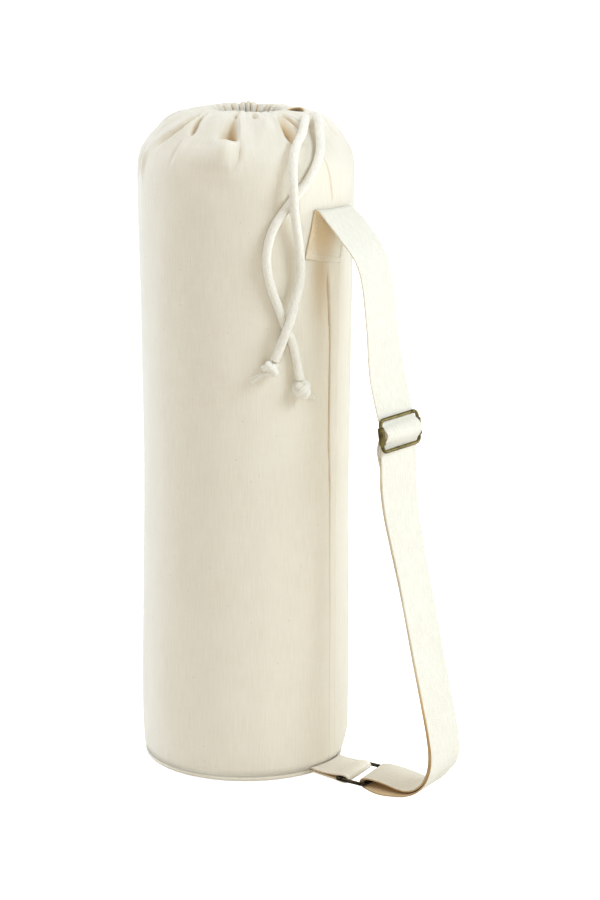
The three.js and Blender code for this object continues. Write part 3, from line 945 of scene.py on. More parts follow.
@dataclass(frozen=True)
class Fold:
    """A fold of the gathered top.

    angles and distances place it from its upper to its lower end, distances along the cloth from the mouth's
    crest. depth is below zero for a valley. left and right are its widths on each side at the lower end, and
    taper their share at the upper end. crisp goes from 0, rounded, to 1, a sharp crease, and peak is the
    share of its length where it is deepest. tone is how much painted shade it takes there.
    """

    angles: tuple[float, ...]
    distances: tuple[float, ...]
    depth: float
    left: float
    right: float
    taper: float = 1.0
    crisp: float = 0.5
    peak: float = 0.5
    tone: float = 0.0

    def form(self, angle: Points, distance: Points, radius: Points) -> Points:
        """Returns the fold's shape, from 0 beside it to 1 where it is deepest.

        Args:
            angle: the angle of each point of the cloth.
            distance: its distance from the crest.
            radius: its distance from the bag's axis.
        """
        start, end = self.distances[0], self.distances[-1]
        share = np.clip((distance - start) / (end - start), 0, 1)
        middle = np.interp(distance, self.distances, self.angles)
        turn = (angle - middle + 180) % 360 - 180
        across = np.radians(turn) * radius
        width = np.where(across < 0, self.left, self.right) * (self.taper + (1 - self.taper) * share)
        near = np.clip(np.abs(across) / width, 0, 1)
        shape = self.crisp * (1 - near) ** 2 + (1 - self.crisp) * (1 - near**2) ** 2
        rise = smooth_share(share, 0, self.peak)
        fall = 1 - smooth_share(share, self.peak, 1)
        return shape * np.where(share < self.peak, rise, fall)


# A fold's ninth value, where given, is the painted shade in its valley
VISIBLE_FOLDS = (
    # Left shoulder: a soft fold near the outline, then cloth tucked under a long sharp edge
    Fold((-150, -140, -139, -140, -138), (0.008, 0.021, 0.031, 0.045, 0.066),
         -0.0050, 0.008, 0.006, 0.6, 0.4, 0.45, 0.3),
    Fold((-136, -127, -126, -128, -131), (0.005, 0.017, 0.027, 0.040, 0.062),
         0.0032, 0.006, 0.008, 0.6, 0.3, 0.5),
    Fold((-116, -106, -106, -108, -113, -119), (0.003, 0.020, 0.032, 0.043, 0.056, 0.076),
         -0.0085, 0.014, 0.0085, 0.5, 0.4, 0.45, 0.5),
    Fold((-109, -99.5, -99.5, -101, -106, -115), (0.003, 0.021, 0.032, 0.044, 0.055, 0.076),
         0.0034, 0.0026, 0.016, 0.6, 0.6, 0.5),
    Fold((-126, -122, -122, -125), (0.060, 0.072, 0.082, 0.112), 0.0030, 0.005, 0.006, 1.0, 0.5, 0.4),
    Fold((-133, -130, -132), (0.060, 0.080, 0.112), -0.0026, 0.007, 0.006, 1.0, 0.3, 0.4, 0.1),
    # Short tuck with a pit at its lower end, and the thin valley below it
    Fold((-106, -96.5, -94.5, -93.5, -92.5), (0.002, 0.017, 0.026, 0.034, 0.046),
         -0.0066, 0.007, 0.0028, 0.5, 0.5, 0.7, 0.45),
    Fold((-103, -93.5, -91.5, -90), (0.002, 0.017, 0.028, 0.046), 0.0018, 0.0022, 0.010, 0.5, 0.5, 0.5),
    Fold((-93, -92.5, -92.5), (0.031, 0.040, 0.050), -0.0042, 0.0046, 0.004, 1.0, 0.4, 0.5, 0.5),
    Fold((-97, -97, -97, -98), (0.048, 0.060, 0.070, 0.092), -0.0014, 0.004, 0.0024, 1.0, 0.6, 0.3, 0.07),
    Fold((-94.5, -94.5, -95), (0.048, 0.062, 0.090), 0.0015, 0.003, 0.008, 1.0, 0.5, 0.35),
    # Deep pocket, its puffed lower lip and the hooked crease beside that
    Fold((-63.5, -63.5, -63.5), (0.000, 0.010, 0.020), -0.0040, 0.003, 0.003, 0.8, 0.5, 0.6, 0.3),
    Fold((-64, -63, -62), (0.010, 0.030, 0.0525), -0.0165, 0.019, 0.0072, 0.12, 0.15, 0.88, 0.92),
    Fold((-60, -57.5, -56), (0.006, 0.030, 0.056), 0.0022, 0.0022, 0.017, 0.5, 0.4, 0.6),
    Fold((-67, -65, -66), (0.041, 0.057, 0.084), 0.0074, 0.019, 0.014, 1.0, 0.05, 0.40),
    Fold((-80, -76, -72), (0.066, 0.084, 0.116), -0.0030, 0.034, 0.030, 1.0, 0.0, 0.35, 0.06),
    Fold((-57.5, -56.5, -57, -60, -65.5), (0.045, 0.058, 0.070, 0.081, 0.091),
         -0.0026, 0.006, 0.0022, 0.9, 0.7, 0.4, 0.12),
    Fold((-55, -53.5, -54.5, -57.5), (0.046, 0.058, 0.070, 0.086), 0.0012, 0.0026, 0.014, 1.0, 0.3, 0.4),
    # Small pit at the hem, and soft panels between the tucks
    Fold((-44, -44, -44), (0.001, 0.010, 0.022), -0.0060, 0.0044, 0.0042, 0.8, 0.5, 0.5, 0.4),
    Fold((-80, -80, -82), (0.000, 0.024, 0.050), 0.0028, 0.014, 0.014, 0.7, 0.1, 0.45),
    Fold((-36, -38, -40), (0.000, 0.030, 0.062), 0.0034, 0.016, 0.012, 0.6, 0.1, 0.5),
    # The big pleat's edge, the sunk cloth beside it and the crevice under the spout
    Fold((-10, -24, -28, -29, -27.5, -23), (0.001, 0.011, 0.024, 0.040, 0.048, 0.064),
         0.0050, 0.020, 0.0024, 0.6, 0.6, 0.45),
    Fold((-8, -18, -21, -22, -19), (0.003, 0.016, 0.030, 0.046, 0.064),
         -0.0115, 0.0095, 0.012, 0.35, 0.3, 0.6, 0.95),
    Fold((-4, -10, -11, -10), (0.004, 0.014, 0.025, 0.044), -0.0105, 0.0046, 0.0044, 0.8, 0.7, 0.5, 1.5),
    # The shade below the strap's sewn end
    Fold((-9, -9, -9), (0.160, 0.178, 0.260), -0.0002, 0.020, 0.014, 1.0, 0.0, 0.18, 0.5),
    # Two scallops that stand up at the far side of the mouth, and the hem's end over the cords
    Fold((124, 124, 124), (-0.010, 0.0, 0.014), 0.0032, 0.0115, 0.0105, 1.0, 0.1, 0.42),
    Fold((8, 7, 6), (0.012, 0.022, 0.034), 0.0040, 0.016, 0.014, 1.0, 0.1, 0.7),
)
# A fold's ninth value, where given, is the painted shade in its valley
FAR_FOLDS = (
    Fold((26, 25, 24), (0.008, 0.036, 0.070), -0.0055, 0.008, 0.010, 0.5, 0.6, 0.5, 0.35),
    Fold((40, 42, 43), (0.003, 0.040, 0.078), 0.0030, 0.005, 0.010, 0.5, 0.8, 0.45),
    Fold((56, 54, 53), (0.003, 0.030, 0.058), -0.0045, 0.007, 0.007, 0.5, 0.6, 0.5),
    Fold((79, 82, 83), (0.006, 0.040, 0.082), -0.0075, 0.010, 0.006, 0.4, 0.6, 0.6, 0.35),
    Fold((92, 93, 94), (0.003, 0.034, 0.070), 0.0030, 0.010, 0.005, 0.5, 0.8, 0.45),
    Fold((108, 105, 104), (0.002, 0.024, 0.050), -0.0045, 0.006, 0.006, 0.5, 0.6, 0.5),
    Fold((133, 135, 136), (0.005, 0.036, 0.072), -0.0080, 0.011, 0.006, 0.4, 0.6, 0.6, 0.35),
    Fold((148, 147, 146), (0.003, 0.034, 0.064), 0.0030, 0.005, 0.010, 0.5, 0.8, 0.45),
    Fold((163, 166, 167), (0.002, 0.028, 0.056), -0.0045, 0.006, 0.006, 0.5, 0.6, 0.5),
    Fold((184, 182, 181), (0.005, 0.044, 0.088), -0.0065, 0.007, 0.010, 0.4, 0.6, 0.55, 0.35),
    Fold((199, 200, 201), (0.003, 0.038, 0.074), 0.0030, 0.010, 0.005, 0.5, 0.8, 0.45),
    Fold((216, 214, 213), (0.003, 0.030, 0.060), -0.0048, 0.007, 0.007, 0.5, 0.6, 0.5),
)


@dataclass
class CanvasBag:
    """The canvas tube with its drawn-up mouth, and the round base panel sewn under it."""

    finish: bpy.types.Material
    wall: float = 0.0015
    girth_radius: float = 0.104
    columns: int = 516
    crowding: float = 0.5
    crowded_angle: float = -25.0
    # The spacing of the profile's samples, and the step between rows of the outside that are further than
    # each distance from the crest
    sampling: float = 0.0008
    row_steps: tuple[tuple[float, float], ...] = (
        (0.14, 0.010), (0.09, 0.003), (0.03, 0.0016), (-1.0, 0.0011),
    )
    # The rows of the inside: a fine step from the crest to a distance, and a coarse step from another
    inner_fine: tuple[float, float] = (0.006, 0.12)
    inner_coarse: tuple[float, float] = (0.05, 0.13)
    wall_sections: tuple[Section, ...] = (
        Section(0.1004, 0.0052),
        Section(0.1014, 0.0072),
        Section(0.1026, 0.0160),
        Section(0.1017, 0.2500),
        Section(0.1025, 0.4100),
        Section(0.1046, 0.5500),
        Section(0.1049, 0.5880),
        Section(0.1041, 0.6030),
        Section(0.1012, 0.6135),
        Section(0.0962, 0.6215),
        Section(0.0892, 0.6295, spout=0.05),
        Section(0.0795, 0.6380, gather=0.0001, spout=0.2),
        Section(0.0675, 0.6450, gather=0.0004, spout=0.45),
        Section(0.0555, 0.6493, gather=0.0009, spout=0.72),
        Section(0.0455, 0.6508, gather=0.0013, spout=0.92),
        Section(0.0398, 0.6516, gather=0.0016, spout=1.0),
    )
    lip_sections: tuple[Section, ...] = (
        Section(0.0378, 0.6507, gather=0.0018, spout=1.0),
        Section(0.0350, 0.6480, gather=0.0019, spout=1.0),
        Section(0.0332, 0.6440, gather=0.0017, spout=1.0),
        Section(0.0340, 0.6400, gather=0.0013, spout=1.0),
        Section(0.0412, 0.6390, gather=0.0010, spout=1.0),
    )
    # Angles of the gaps between the hem's scallops on the far side, and how many there are elsewhere
    far_gaps: tuple[float, ...] = (86.1, 93.6, 110.4, 120.6, 127.5, 137.1, 148.4, 163.2, 174.0, 186.1, 199.3)
    near_gaps: int = 22
    gather_far: float = 127.0
    # The pleats' roundness, their mean size, how much it grows towards the far side and how uneven it is
    lobe_power: float = 0.6
    lobe_size: float = 0.75
    lobe_growth: float = 0.45
    lobe_uneven: float = 0.2
    mouth_tilt: float = 0.0024
    # Painted rim light and shade: its middle and edges along the cloth, and its share round the mouth
    rim_middle: float = -0.004
    rim_edges: tuple[float, float] = (0.005, 0.009)
    rim_far: tuple[float, float] = (-0.2, 0.5)
    gap_edges: tuple[float, float] = (-0.35, 0.6)
    mouth_share: float = 0.9
    # Painted light on scallops, painted shade in their gaps and the seam's groove, painted shadow in the slit
    gap_painted_shade: float = 1.0
    lobe_painted_light: float = -1.0
    slit_painted_shadow: float = 1.9
    seam_painted_shade: float = 1.0
    folds: tuple[Fold, ...] = VISIBLE_FOLDS + FAR_FOLDS
    hem_distance: float = 0.0135
    hem_depth: float = 0.0003
    hem_half: float = 0.004
    spout_angle: float = 12.0
    spout_half: float = 6.0
    spout_reach: float = 0.0220
    spout_fade: float = 26.0
    spout_lift: float = 0.0012
    spout_lip: float = 0.0366
    hole_at: float = 0.0545
    hole_tilt: float = 0.0022
    hole_size: tuple[float, float] = (0.010, 0.012)
    lip_width: float = 0.0035
    # How far the slit's points are drawn out, and how far inside the crest, where they fall into shadow
    slit_drawn: tuple[float, float] = (0.004, 0.010)
    slit_inside: float = 0.0025
    # Half-width of the spout's slit along its length, from the mouth to its end
    slit: tuple[tuple[float, float], ...] = (
        (0.0, 0.0037), (0.0035, 0.0009), (0.0120, 0.0007), (0.0150, 0.0014), (0.0184, 0.0018), (0.0220, 0.0),
    )
    # Side seam: height, angle, and how far it gapes
    seam: tuple[tuple[float, float, float], ...] = (
        (0.010, 1.0, 0.10),
        (0.175, 1.0, 0.22),
        (0.277, 0.9, 0.55),
        (0.338, -1.1, 0.85),
        (0.437, -1.2, 1.0),
        (0.474, -2.6, 1.1),
        (0.497, -4.4, 1.1),
        (0.503, -4.6, 0.0),
        (0.571, -0.9, 0.0),
        (0.576, -1.2, 0.30),
        (0.594, -2.9, 0.32),
        (0.612, -5.0, 0.22),
        (0.626, -6.5, 0.0),
    )
    seam_groove: float = 0.0027
    seam_half: float = 0.0009
    seam_ridge: float = 0.0011
    seam_spread: float = 0.012
    seam_sharp: float = 1.2
    shoulder_share: float = 0.35
    # The least distance of the open seam from the mouth's crest
    seam_end: float = 0.03
    # Broad and fine unevenness: its frequency round and up the bag, and its height
    broad_dents: tuple[float, float, float] = (1.5, 4.5, 0.0011)
    fine_dents: tuple[float, float, float] = (5.0, 9.0, 0.0006)
    fine_offset: float = 7.0
    # Where the cloth is calm: at its foot, and under the strap's sewn end
    foot_calm: tuple[float, float] = (0.01, 0.06)
    sewn_calm: tuple[float, float] = (0.50, 0.515)
    sewn_angle: float = 24.0
    sewn_share: float = 0.85
    base_profile: tuple[tuple[float, float], ...] = (
        (0.0, 0.0), (0.050, 0.0), (0.090, 0.0), (0.0965, 0.0001), (0.0992, 0.0009), (0.1008, 0.0026),
        (0.1009, 0.0042), (0.1000, 0.0053), (0.0988, 0.0046), (0.0975, 0.0024), (0.0955, 0.0016),
        (0.050, 0.0015), (0.0, 0.0015),
    )
    base_columns: int = 240
    base_sampling: float = 0.0012
    # The base's puckered edge, and how the foot is pressed in beside the strap
    pucker: float = 0.00022
    pucker_waves: int = 61
    pucker_edge: tuple[float, float] = (0.094, 0.100)
    press_angle: float = 36.0
    press_spread: float = 24.0
    press_depth: float = 0.0042
    press_height: float = 0.034
    press_edge: tuple[float, float] = (0.05, 0.098)
    flat_size: tuple[float, float] = (0.660, 0.735)
    rows: dict[str, Points] = field(default_factory=dict)

    def build(self) -> None:
        """Builds the bag's cloth and its base."""
        self.sample_rows()
        bm = wrapped_grid(self.columns, len(self.rows["radius"]) - 1, self.place, self.threads, self.painted_shading)
        body = shown(bm, "canvas_body", self.finish, ["bag_body"])
        self.build_base()

    def sample_rows(self) -> None:
        """Works out the rows of the cloth: up the outside, over the hem and down the inside."""
        table, lip = (np.array([(s.radius, s.height, s.gather, s.spout) for s in sections])
                      for sections in (self.wall_sections, self.lip_sections))
        outer = smooth_curve(table, self.sampling)
        crest = len(outer) - 1
        whole = np.vstack([outer, smooth_curve(np.vstack([table[-1:], lip]), self.sampling)[1:]])
        steps = np.linalg.norm(np.diff(whole[:, :2], axis=0), axis=1)
        run = np.concatenate([[0], np.cumsum(steps)])
        slope = np.gradient(whole[:, :2], axis=0)
        slope /= np.linalg.norm(slope, axis=1)[:, None]
        outward = np.stack([slope[:, 1], -slope[:, 0]], axis=1)
        distance = run[crest] - run
        pick, spot = [], 0.0
        while spot < run[-1]:
            pick.append(spot)
            left = run[crest] - spot
            spot += next(step for limit, step in self.row_steps if left > limit)
        pick = np.array([*pick, run[-1]])
        fine, fine_end = self.inner_fine
        coarse, coarse_start = self.inner_coarse
        inner = np.concatenate([np.arange(run[crest] - fine, run[crest] - fine_end, -fine),
                                np.arange(run[crest] - coarse_start, 0.0, -coarse), [0.0]])
        at = np.concatenate([pick, inner, [0.0]])
        inset = np.concatenate([np.zeros(len(pick)), np.full(len(inner), self.wall), [0.0]])
        columns = {"radius": whole[:, 0], "height": whole[:, 1], "gather": whole[:, 2], "spout": whole[:, 3],
                   "out_r": outward[:, 0], "out_z": outward[:, 1], "distance": distance}
        self.rows = {name: np.interp(at, run, column) for name, column in columns.items()}
        self.rows["inset"] = inset
        self.rows["thread"] = np.where(inset > 0, 2 * run[-1] - at, at)

    def angle_of(self, across: Points) -> Points:
        """Returns the angle of each column. They crowd towards the front of the seam."""
        even = 2 * np.pi * across - np.pi
        return even - self.crowding * np.sin(even) + math.radians(self.crowded_angle)

    def values_at(self, along: Points) -> dict[str, Points]:
        """Returns the row values of each point of the grid."""
        row = np.rint(along * (len(self.rows["radius"]) - 1)).astype(int)
        return {name: column[row] for name, column in self.rows.items()}

    def threads(self, across: Points, along: Points) -> Points:
        """Returns the cloth's own coordinates: round the bag and up it."""
        return np.stack([self.angle_of(across) * self.girth_radius, self.values_at(along)["thread"]], axis=1)

    def place(self, across: Points, along: Points) -> Points:
        """Returns the points of the cloth with its spout, pleats, folds, seam and dents."""
        at = self.values_at(along)
        angle, radius, height = self.spouted(self.angle_of(across), at)
        degrees = np.degrees(angle)
        lift = at["gather"] * self.pleats(angle)
        for fold in self.folds:
            lift = lift + fold.depth * fold.form(degrees, at["distance"], radius)
        hem = np.clip(1 - np.abs(at["distance"] - self.hem_distance) / self.hem_half, 0, 1)
        lift = lift - self.hem_depth * hem**2
        lift = lift + self.seam_lift(degrees, at) + self.dents(angle, at) - at["inset"]
        out = radius + at["out_r"] * lift
        return np.stack([out * np.cos(angle), out * np.sin(angle), height + at["out_z"] * lift], axis=1)

    def painted_shading(self, across: Points, along: Points) -> Points:
        """Returns each point's painted light and shade, from -1, painted light, to 2, painted deep shadow."""
        at = self.values_at(along)
        angle, radius, _ = self.spouted(self.angle_of(across), at)
        mouth = at["spout"] > self.mouth_share
        # Painted light on the far scallops of the hem, and painted shade in the gaps between them
        far = smooth_share(np.cos(angle - math.radians(self.gather_far)), *self.rim_far)
        rim = far * (1 - smooth_share(np.abs(at["distance"] - self.rim_middle), *self.rim_edges)) * mouth
        in_gap = smooth_share(-self.pleats(angle), *self.gap_edges)
        depth = rim * (self.lobe_painted_light * (1 - in_gap) + self.gap_painted_shade * in_gap)
        # Painted shade in the folds' valleys
        for fold in self.folds:
            if fold.tone:
                depth = depth + fold.tone * fold.form(np.degrees(angle), at["distance"], radius)
        # Painted shade along the side seam's groove where it gapes
        groove, _, gape = self.seam_form(np.degrees(angle), at)
        depth = depth + self.seam_painted_shade * np.minimum(groove * 2, 1) * np.minimum(gape * 2, 1)
        # Painted shadow inside the spout's slit
        in_slit = smooth_share(radius - at["radius"], *self.slit_drawn) * mouth
        inside = smooth_share(-at["distance"], 0.0, self.slit_inside)
        depth = np.maximum(depth, in_slit * inside * self.slit_painted_shadow)
        return np.clip(depth, -1, 2)

    def pleats(self, angle: Points) -> Points:
        """Returns the uneven scallops of the gathered hem, from -1 to 1."""
        first, last = self.far_gaps[0], self.far_gaps[-1]
        gaps = np.concatenate([self.far_gaps, np.linspace(last, first + 360, self.near_gaps + 2)[1:]])
        turn = (np.degrees(angle) - first) % 360 + first
        lobes = np.abs(np.sin(np.pi * np.interp(turn, gaps, np.arange(len(gaps))))) ** self.lobe_power
        size = self.lobe_size + self.lobe_growth * np.cos(angle - math.radians(self.gather_far))
        return (2 * lobes - 1) * size * (1 + self.lobe_uneven * np.sin(5 * angle + 1))

    def spouted(self, angle: Points, at: dict[str, Points]) -> tuple[Points, Points, Points]:
        """Draws the mouth out into a slit towards the side seam.

        Args:
            angle: the angle of each point, in radians.
            at: the row values of each point.

        Returns:
            The angles, distances from the axis and heights after that.
        """
        half, centre = math.radians(self.spout_half), math.radians(self.spout_angle)
        turn = (angle - centre + np.pi) % (2 * np.pi) - np.pi
        side, apart = np.sign(turn), np.abs(turn) / half
        beyond = np.maximum(at["radius"] - self.spout_lip, 0) * at["spout"]
        inside = np.clip(apart, 0, 1)
        drawn = np.cos(np.pi * inside / 2) ** 2
        flat = (1 - at["spout"]) * at["radius"] * half
        slit_at, slit_half = np.array(self.slit).T
        gap = np.interp(self.spout_reach * drawn, slit_at, slit_half)
        round_end = np.sqrt(1 - (1 - inside) ** 2)
        ahead = at["radius"] + self.spout_reach * at["spout"] * drawn
        aside = side * (gap * at["spout"] + beyond * round_end + flat * inside)
        slit_turn = np.arctan2(aside, ahead)
        edge = np.arctan2(slit_half[0] * at["spout"] + beyond + flat, at["radius"])
        fade = 1 - smooth_share(np.abs(turn), half, math.radians(self.spout_fade) + half)
        far_turn = turn + side * (edge - half) * fade
        in_slit = apart < 1
        new_turn = np.where(in_slit, slit_turn, far_turn)
        new_radius = np.where(in_slit, np.hypot(ahead, aside), at["radius"])
        ahead = new_radius * np.cos(new_turn) - self.hole_at
        aside = new_radius * np.sin(new_turn)
        hole_long, hole_wide = self.hole_size
        by_hole = at["spout"] * np.exp(-((ahead / hole_long) ** 2)) * np.exp(-((aside / hole_wide) ** 2))
        lips = self.hole_tilt * np.tanh(aside / self.lip_width) * by_hole
        leaning = np.cos(angle - math.radians(self.gather_far))
        tilt = -self.mouth_tilt * leaning * smooth_share(at["spout"], 0.0, 1.0)
        return new_turn + centre, new_radius, at["height"] + self.spout_lift * by_hole + lips + tilt

    def seam_form(self, degrees: Points, at: dict[str, Points]) -> tuple[Points, Points, Points]:
        """Returns the side seam's groove and the cloth edges beside it, from 0 to 1, and how far it gapes."""
        heights, angles, gapes = np.array(self.seam).T
        turn = degrees - np.interp(at["height"], heights, angles)
        across = np.radians((turn + 180) % 360 - 180) * at["radius"]
        groove = np.clip(1 - np.abs(across + self.seam_half) / self.seam_half, 0, 1) ** self.seam_sharp
        ridge = np.where(across > 0, np.clip(1 - across / self.seam_spread, 0, 1) ** 2, 0)
        shoulder = np.where(across < -2 * self.seam_half,
                            np.clip(1 + (across + 2 * self.seam_half) / self.seam_spread, 0, 1) ** 2, 0)
        gape = (at["distance"] > self.seam_end) * np.interp(at["height"], heights, gapes)
        return groove, ridge + self.shoulder_share * shoulder, gape

    def seam_lift(self, degrees: Points, at: dict[str, Points]) -> Points:
        """Returns the height of the side seam's groove and of the cloth edge that stands beside it."""
        groove, edges, gape = self.seam_form(degrees, at)
        return gape * (self.seam_ridge * edges - self.seam_groove * groove)

    def dents(self, angle: Points, at: dict[str, Points]) -> Points:
        """Returns the soft unevenness of the standing cloth."""
        height = at["height"]
        dents = 0.0
        for (often, up, deep), start in ((self.broad_dents, 0.0), (self.fine_dents, self.fine_offset)):
            spots = zip(np.cos(angle) * often, np.sin(angle) * often, height * up + start)
            dents = dents + deep * np.array([noise.noise(spot) for spot in spots])
        under_strap = smooth_share(height, *self.sewn_calm) * (np.abs(np.degrees(angle)) < self.sewn_angle)
        calm = smooth_share(height, *self.foot_calm) * (1 - self.sewn_share * under_strap)
        return dents * calm - self.pressed_in(angle, height)

    def pressed_in(self, angle: Points, height: Points) -> Points:
        """Returns how far the bag's foot is pushed in beside the strap."""
        turn = (np.degrees(angle) - self.press_angle + 180) % 360 - 180
        low = 1 - smooth_share(height, 0.0, self.press_height)
        return self.press_depth * np.exp(-((turn / self.press_spread) ** 2)) * low

    def build_base(self) -> None:
        """Builds the round base panel, with its turned edge under the bag's seam."""
        profile = smooth_curve(np.array(self.base_profile), self.base_sampling)
        last = len(profile) - 1

        def place(across: Points, along: Points) -> Points:
            """Returns the points of the panel, puckered at its edge."""
            radius, height = profile[np.rint(along * last).astype(int)].T
            turn = 2 * np.pi * across
            edge = smooth_share(radius, *self.pucker_edge)
            pucker = self.pucker * edge * np.sin(self.pucker_waves * turn + 2 * np.sin(5 * turn))
            out = radius + pucker - self.pressed_in(turn, height) * smooth_share(radius, *self.press_edge)
            return np.stack([out * np.cos(turn), out * np.sin(turn), height], axis=1)

        def threads(across: Points, along: Points) -> Points:
            """Returns the panel's own coordinates, which are its plan."""
            return place(across, along)[:, :2]

        bm = wrapped_grid(self.base_columns, last, place, threads)
        shown(bm, "base_disc", self.finish, ["base_panel"])


# Shoulder strap


@dataclass(frozen=True)
class SewnEnd:
    """How the sewn end of a webbing lies on the bag.

    It takes all of the bag's roundness up to the x of full and none past flat, and it is turned by some
    degrees about a height, which fades to none at the x of straight. It lies a step aside, towards -Y.
    """

    full: float
    flat: float
    turn: float
    about: float
    straight: float
    aside: float = 0.0


@dataclass(frozen=True)
class FoldSlant:
    """How the fold of a webbing round the ring slants.

    share is of the distance across the band. It grows from none to full between two x, and fades out between
    two heights.
    """

    share: float
    none: float
    full: float
    below: float = 0.012
    above: float = 0.030

    def slope(self, x: Points, z: Points) -> Points:
        """Returns the slant at points of the band's middle line."""
        grown = smooth_share((x - self.none) / (self.full - self.none), 0, 1)
        return self.share * grown * (1 - smooth_share(z, self.below, self.above))


@dataclass(frozen=True)
class SliderPose:
    """Where the slider sits: its middle bar, its lean, and how far it and the strap have turned."""

    x: float = 0.184
    z: float = 0.3585
    tilt: float = 8.0
    twist: float = 7.0
    frame_twist: float = 3.5
    # Heights between which the strap is turned: from none to all, and from all to none
    foot: tuple[float, float] = (0.200, 0.320)
    head: tuple[float, float] = (0.400, 0.470)

    def beside(self, along: float, out: float) -> Spot:
        """Returns a point beside the middle bar, in the plane of the side seam."""
        tilt = math.radians(self.tilt)
        x = self.x + along * math.sin(tilt) + out * math.cos(tilt)
        z = self.z - along * math.cos(tilt) + out * math.sin(tilt)
        return x, 0.0, z

    def strap_twist(self, heights: Points) -> Points:
        """Returns how far the strap is turned, in radians, at some heights."""
        turned = smooth_share(heights, *self.foot) * (1 - smooth_share(heights, *self.head))
        return math.radians(self.twist) * turned

    def matrix(self) -> Matrix:
        """Returns the pose of a frame modelled flat about the origin."""
        lean = Matrix.Rotation(math.radians(90 - self.tilt), 4, "Y")
        turn = Matrix.Rotation(math.radians(self.frame_twist), 4, "X")
        return Matrix.Translation((self.x, 0, self.z)) @ lean @ turn


@dataclass
class WebbingBand:
    """A band of webbing along a path."""

    path: tuple[Spot, ...]
    sewn: SewnEnd
    slant: FoldSlant
    slider: SliderPose = SliderPose()
    width: float = 0.050
    thick: float = 0.0017
    sampling: float = 0.0005
    spacing: float = 0.002
    face_columns: int = 24
    edge_columns: int = 5
    blunt: float = 0.0003
    waver: float = 0.0003
    # The x between which the band arches away from the bag with its far edge out, above a height, and by how
    # many degrees
    arch: tuple[float, float, float, float] = (0.110, 0.122, 0.134, 0.150)
    arch_above: float = 0.47
    arch_twist: float = 0.0
    # The x between which its sewn end's step aside fades, above a height
    aside_fade: tuple[float, float] = (0.110, 0.140)
    aside_above: float = 0.4
    # How much rounder its far edge turns at the floor than its near edge, about which height, over what
    # spread and between which x
    far_round: float = 0.0
    round_height: float = 0.015
    round_spread: float = 0.014
    round_x: tuple[float, float] = (0.200, 0.224)
    # Painted shade on its sewn face, painted light on the floor, and painted shade along its near selvedge
    # low down, on its inner side near the floor and above that
    sewn_painted_shade: float = 0.0
    floor_painted_light: float = 0.0
    edge_painted_shade: float = 0.0
    loop_painted_shade: float = 0.0
    between_painted_shade: float = 0.0
    apart: float = 0.106
    # Where those tones lie, as shares of the thickness, heights, x and distances across
    selvedge: float = 0.35
    inner_face: float = 0.3
    loop_z: tuple[float, float] = (0.014, 0.030)
    loop_x: tuple[float, float] = (0.150, 0.160)
    between_below: float = 0.33
    sewn_above: float = 0.5
    sewn_x: tuple[float, float] = (0.1066, 0.1090)
    shade_z: tuple[float, float] = (0.505, 0.545)
    shade_low: float = 0.4
    shade_rise: float = 0.6
    lit: float = 0.7
    lit_across: tuple[float, float] = (-0.006, 0.016)
    lit_z: tuple[float, float] = (0.535, 0.562)
    floor_z: tuple[float, float] = (0.010, 0.024)
    edge_z: tuple[float, float] = (0.05, 0.16)
    edge_fade: float = 0.85
    line: Points = field(default_factory=lambda: np.zeros((0, 3)))
    outs: Points = field(default_factory=lambda: np.zeros((0, 2)))
    along: Points = field(default_factory=lambda: np.zeros(0))

    def __post_init__(self) -> None:
        """Samples the path and its outward directions."""
        self.line = smooth_curve(np.array(self.path), self.sampling)
        tangents = np.gradient(self.line[:, [0, 2]], axis=0)
        tangents /= np.linalg.norm(tangents, axis=1)[:, None]
        self.outs = np.stack([-tangents[:, 1], tangents[:, 0]], axis=1)
        steps = np.linalg.norm(np.diff(self.line, axis=0), axis=1)
        self.along = np.concatenate([[0], np.cumsum(steps)])

    @property
    def length(self) -> float:
        """Returns the band's length."""
        return float(self.along[-1])

    def point(self, run: Points, across: Points, proud: Points) -> Points:
        """Returns points of the band.

        Args:
            run: distances along the band from its sewn end.
            across: distances from its middle line.
            proud: distances from the middle of its thickness.
        """
        x, y, z = (np.interp(run, self.along, column) for column in self.line.T)
        out_x, out_z = (np.interp(run, self.along, column) for column in self.outs.T)
        roundness = 1 - smooth_share(x, self.sewn.full, self.sewn.flat)
        turn = math.radians(self.sewn.turn) * (1 - smooth_share(x, self.path[0][0], self.sewn.straight))
        twist, tilt = self.slider.strap_twist(z), math.radians(self.slider.tilt)
        arched = smooth_share(x, *self.arch[:2]) * (1 - smooth_share(x, *self.arch[2:]))
        twist = twist + math.radians(self.arch_twist) * arched * (z > self.arch_above)
        forward = across * np.sin(twist)
        up = z + out_z * proud + forward * math.sin(tilt) - self.sewn.about
        y = y - self.sewn.aside * (1 - smooth_share(x, *self.aside_fade)) * (z > self.aside_above)
        side = y + across * np.cos(twist) * np.cos(turn) + up * np.sin(turn)
        height = up * np.cos(turn) - across * np.sin(turn) + self.sewn.about
        sag = x - np.sqrt(np.maximum(x**2 - side**2, 0))
        ahead = x + out_x * proud + forward * math.cos(tilt) - sag * roundness
        ahead = ahead - self.slant.slope(x, z) * across
        near_floor = np.exp(-(((z - self.round_height) / self.round_spread) ** 2))
        rounder = self.far_round * near_floor * smooth_share(x, *self.round_x)
        rounder = rounder * (0.5 + across / self.width)
        return np.stack([ahead - rounder, side, height + rounder], axis=1)

    def section(self) -> Points:
        """Returns the band's cross-section: flat faces and rounded selvedges, as across and proud."""
        half, radius = self.width / 2, self.thick / 2
        face = np.linspace(-half + radius, half - radius, self.face_columns + 1)[:-1]
        bend = np.linspace(0, np.pi, self.edge_columns + 1)[:-1]
        top = np.stack([face, np.full_like(face, radius)], axis=1)
        right = np.stack([half - radius + radius * np.sin(bend), radius * np.cos(bend)], axis=1)
        loop = np.vstack([top, right, -top, -right])
        return np.vstack([loop, loop[:1]])

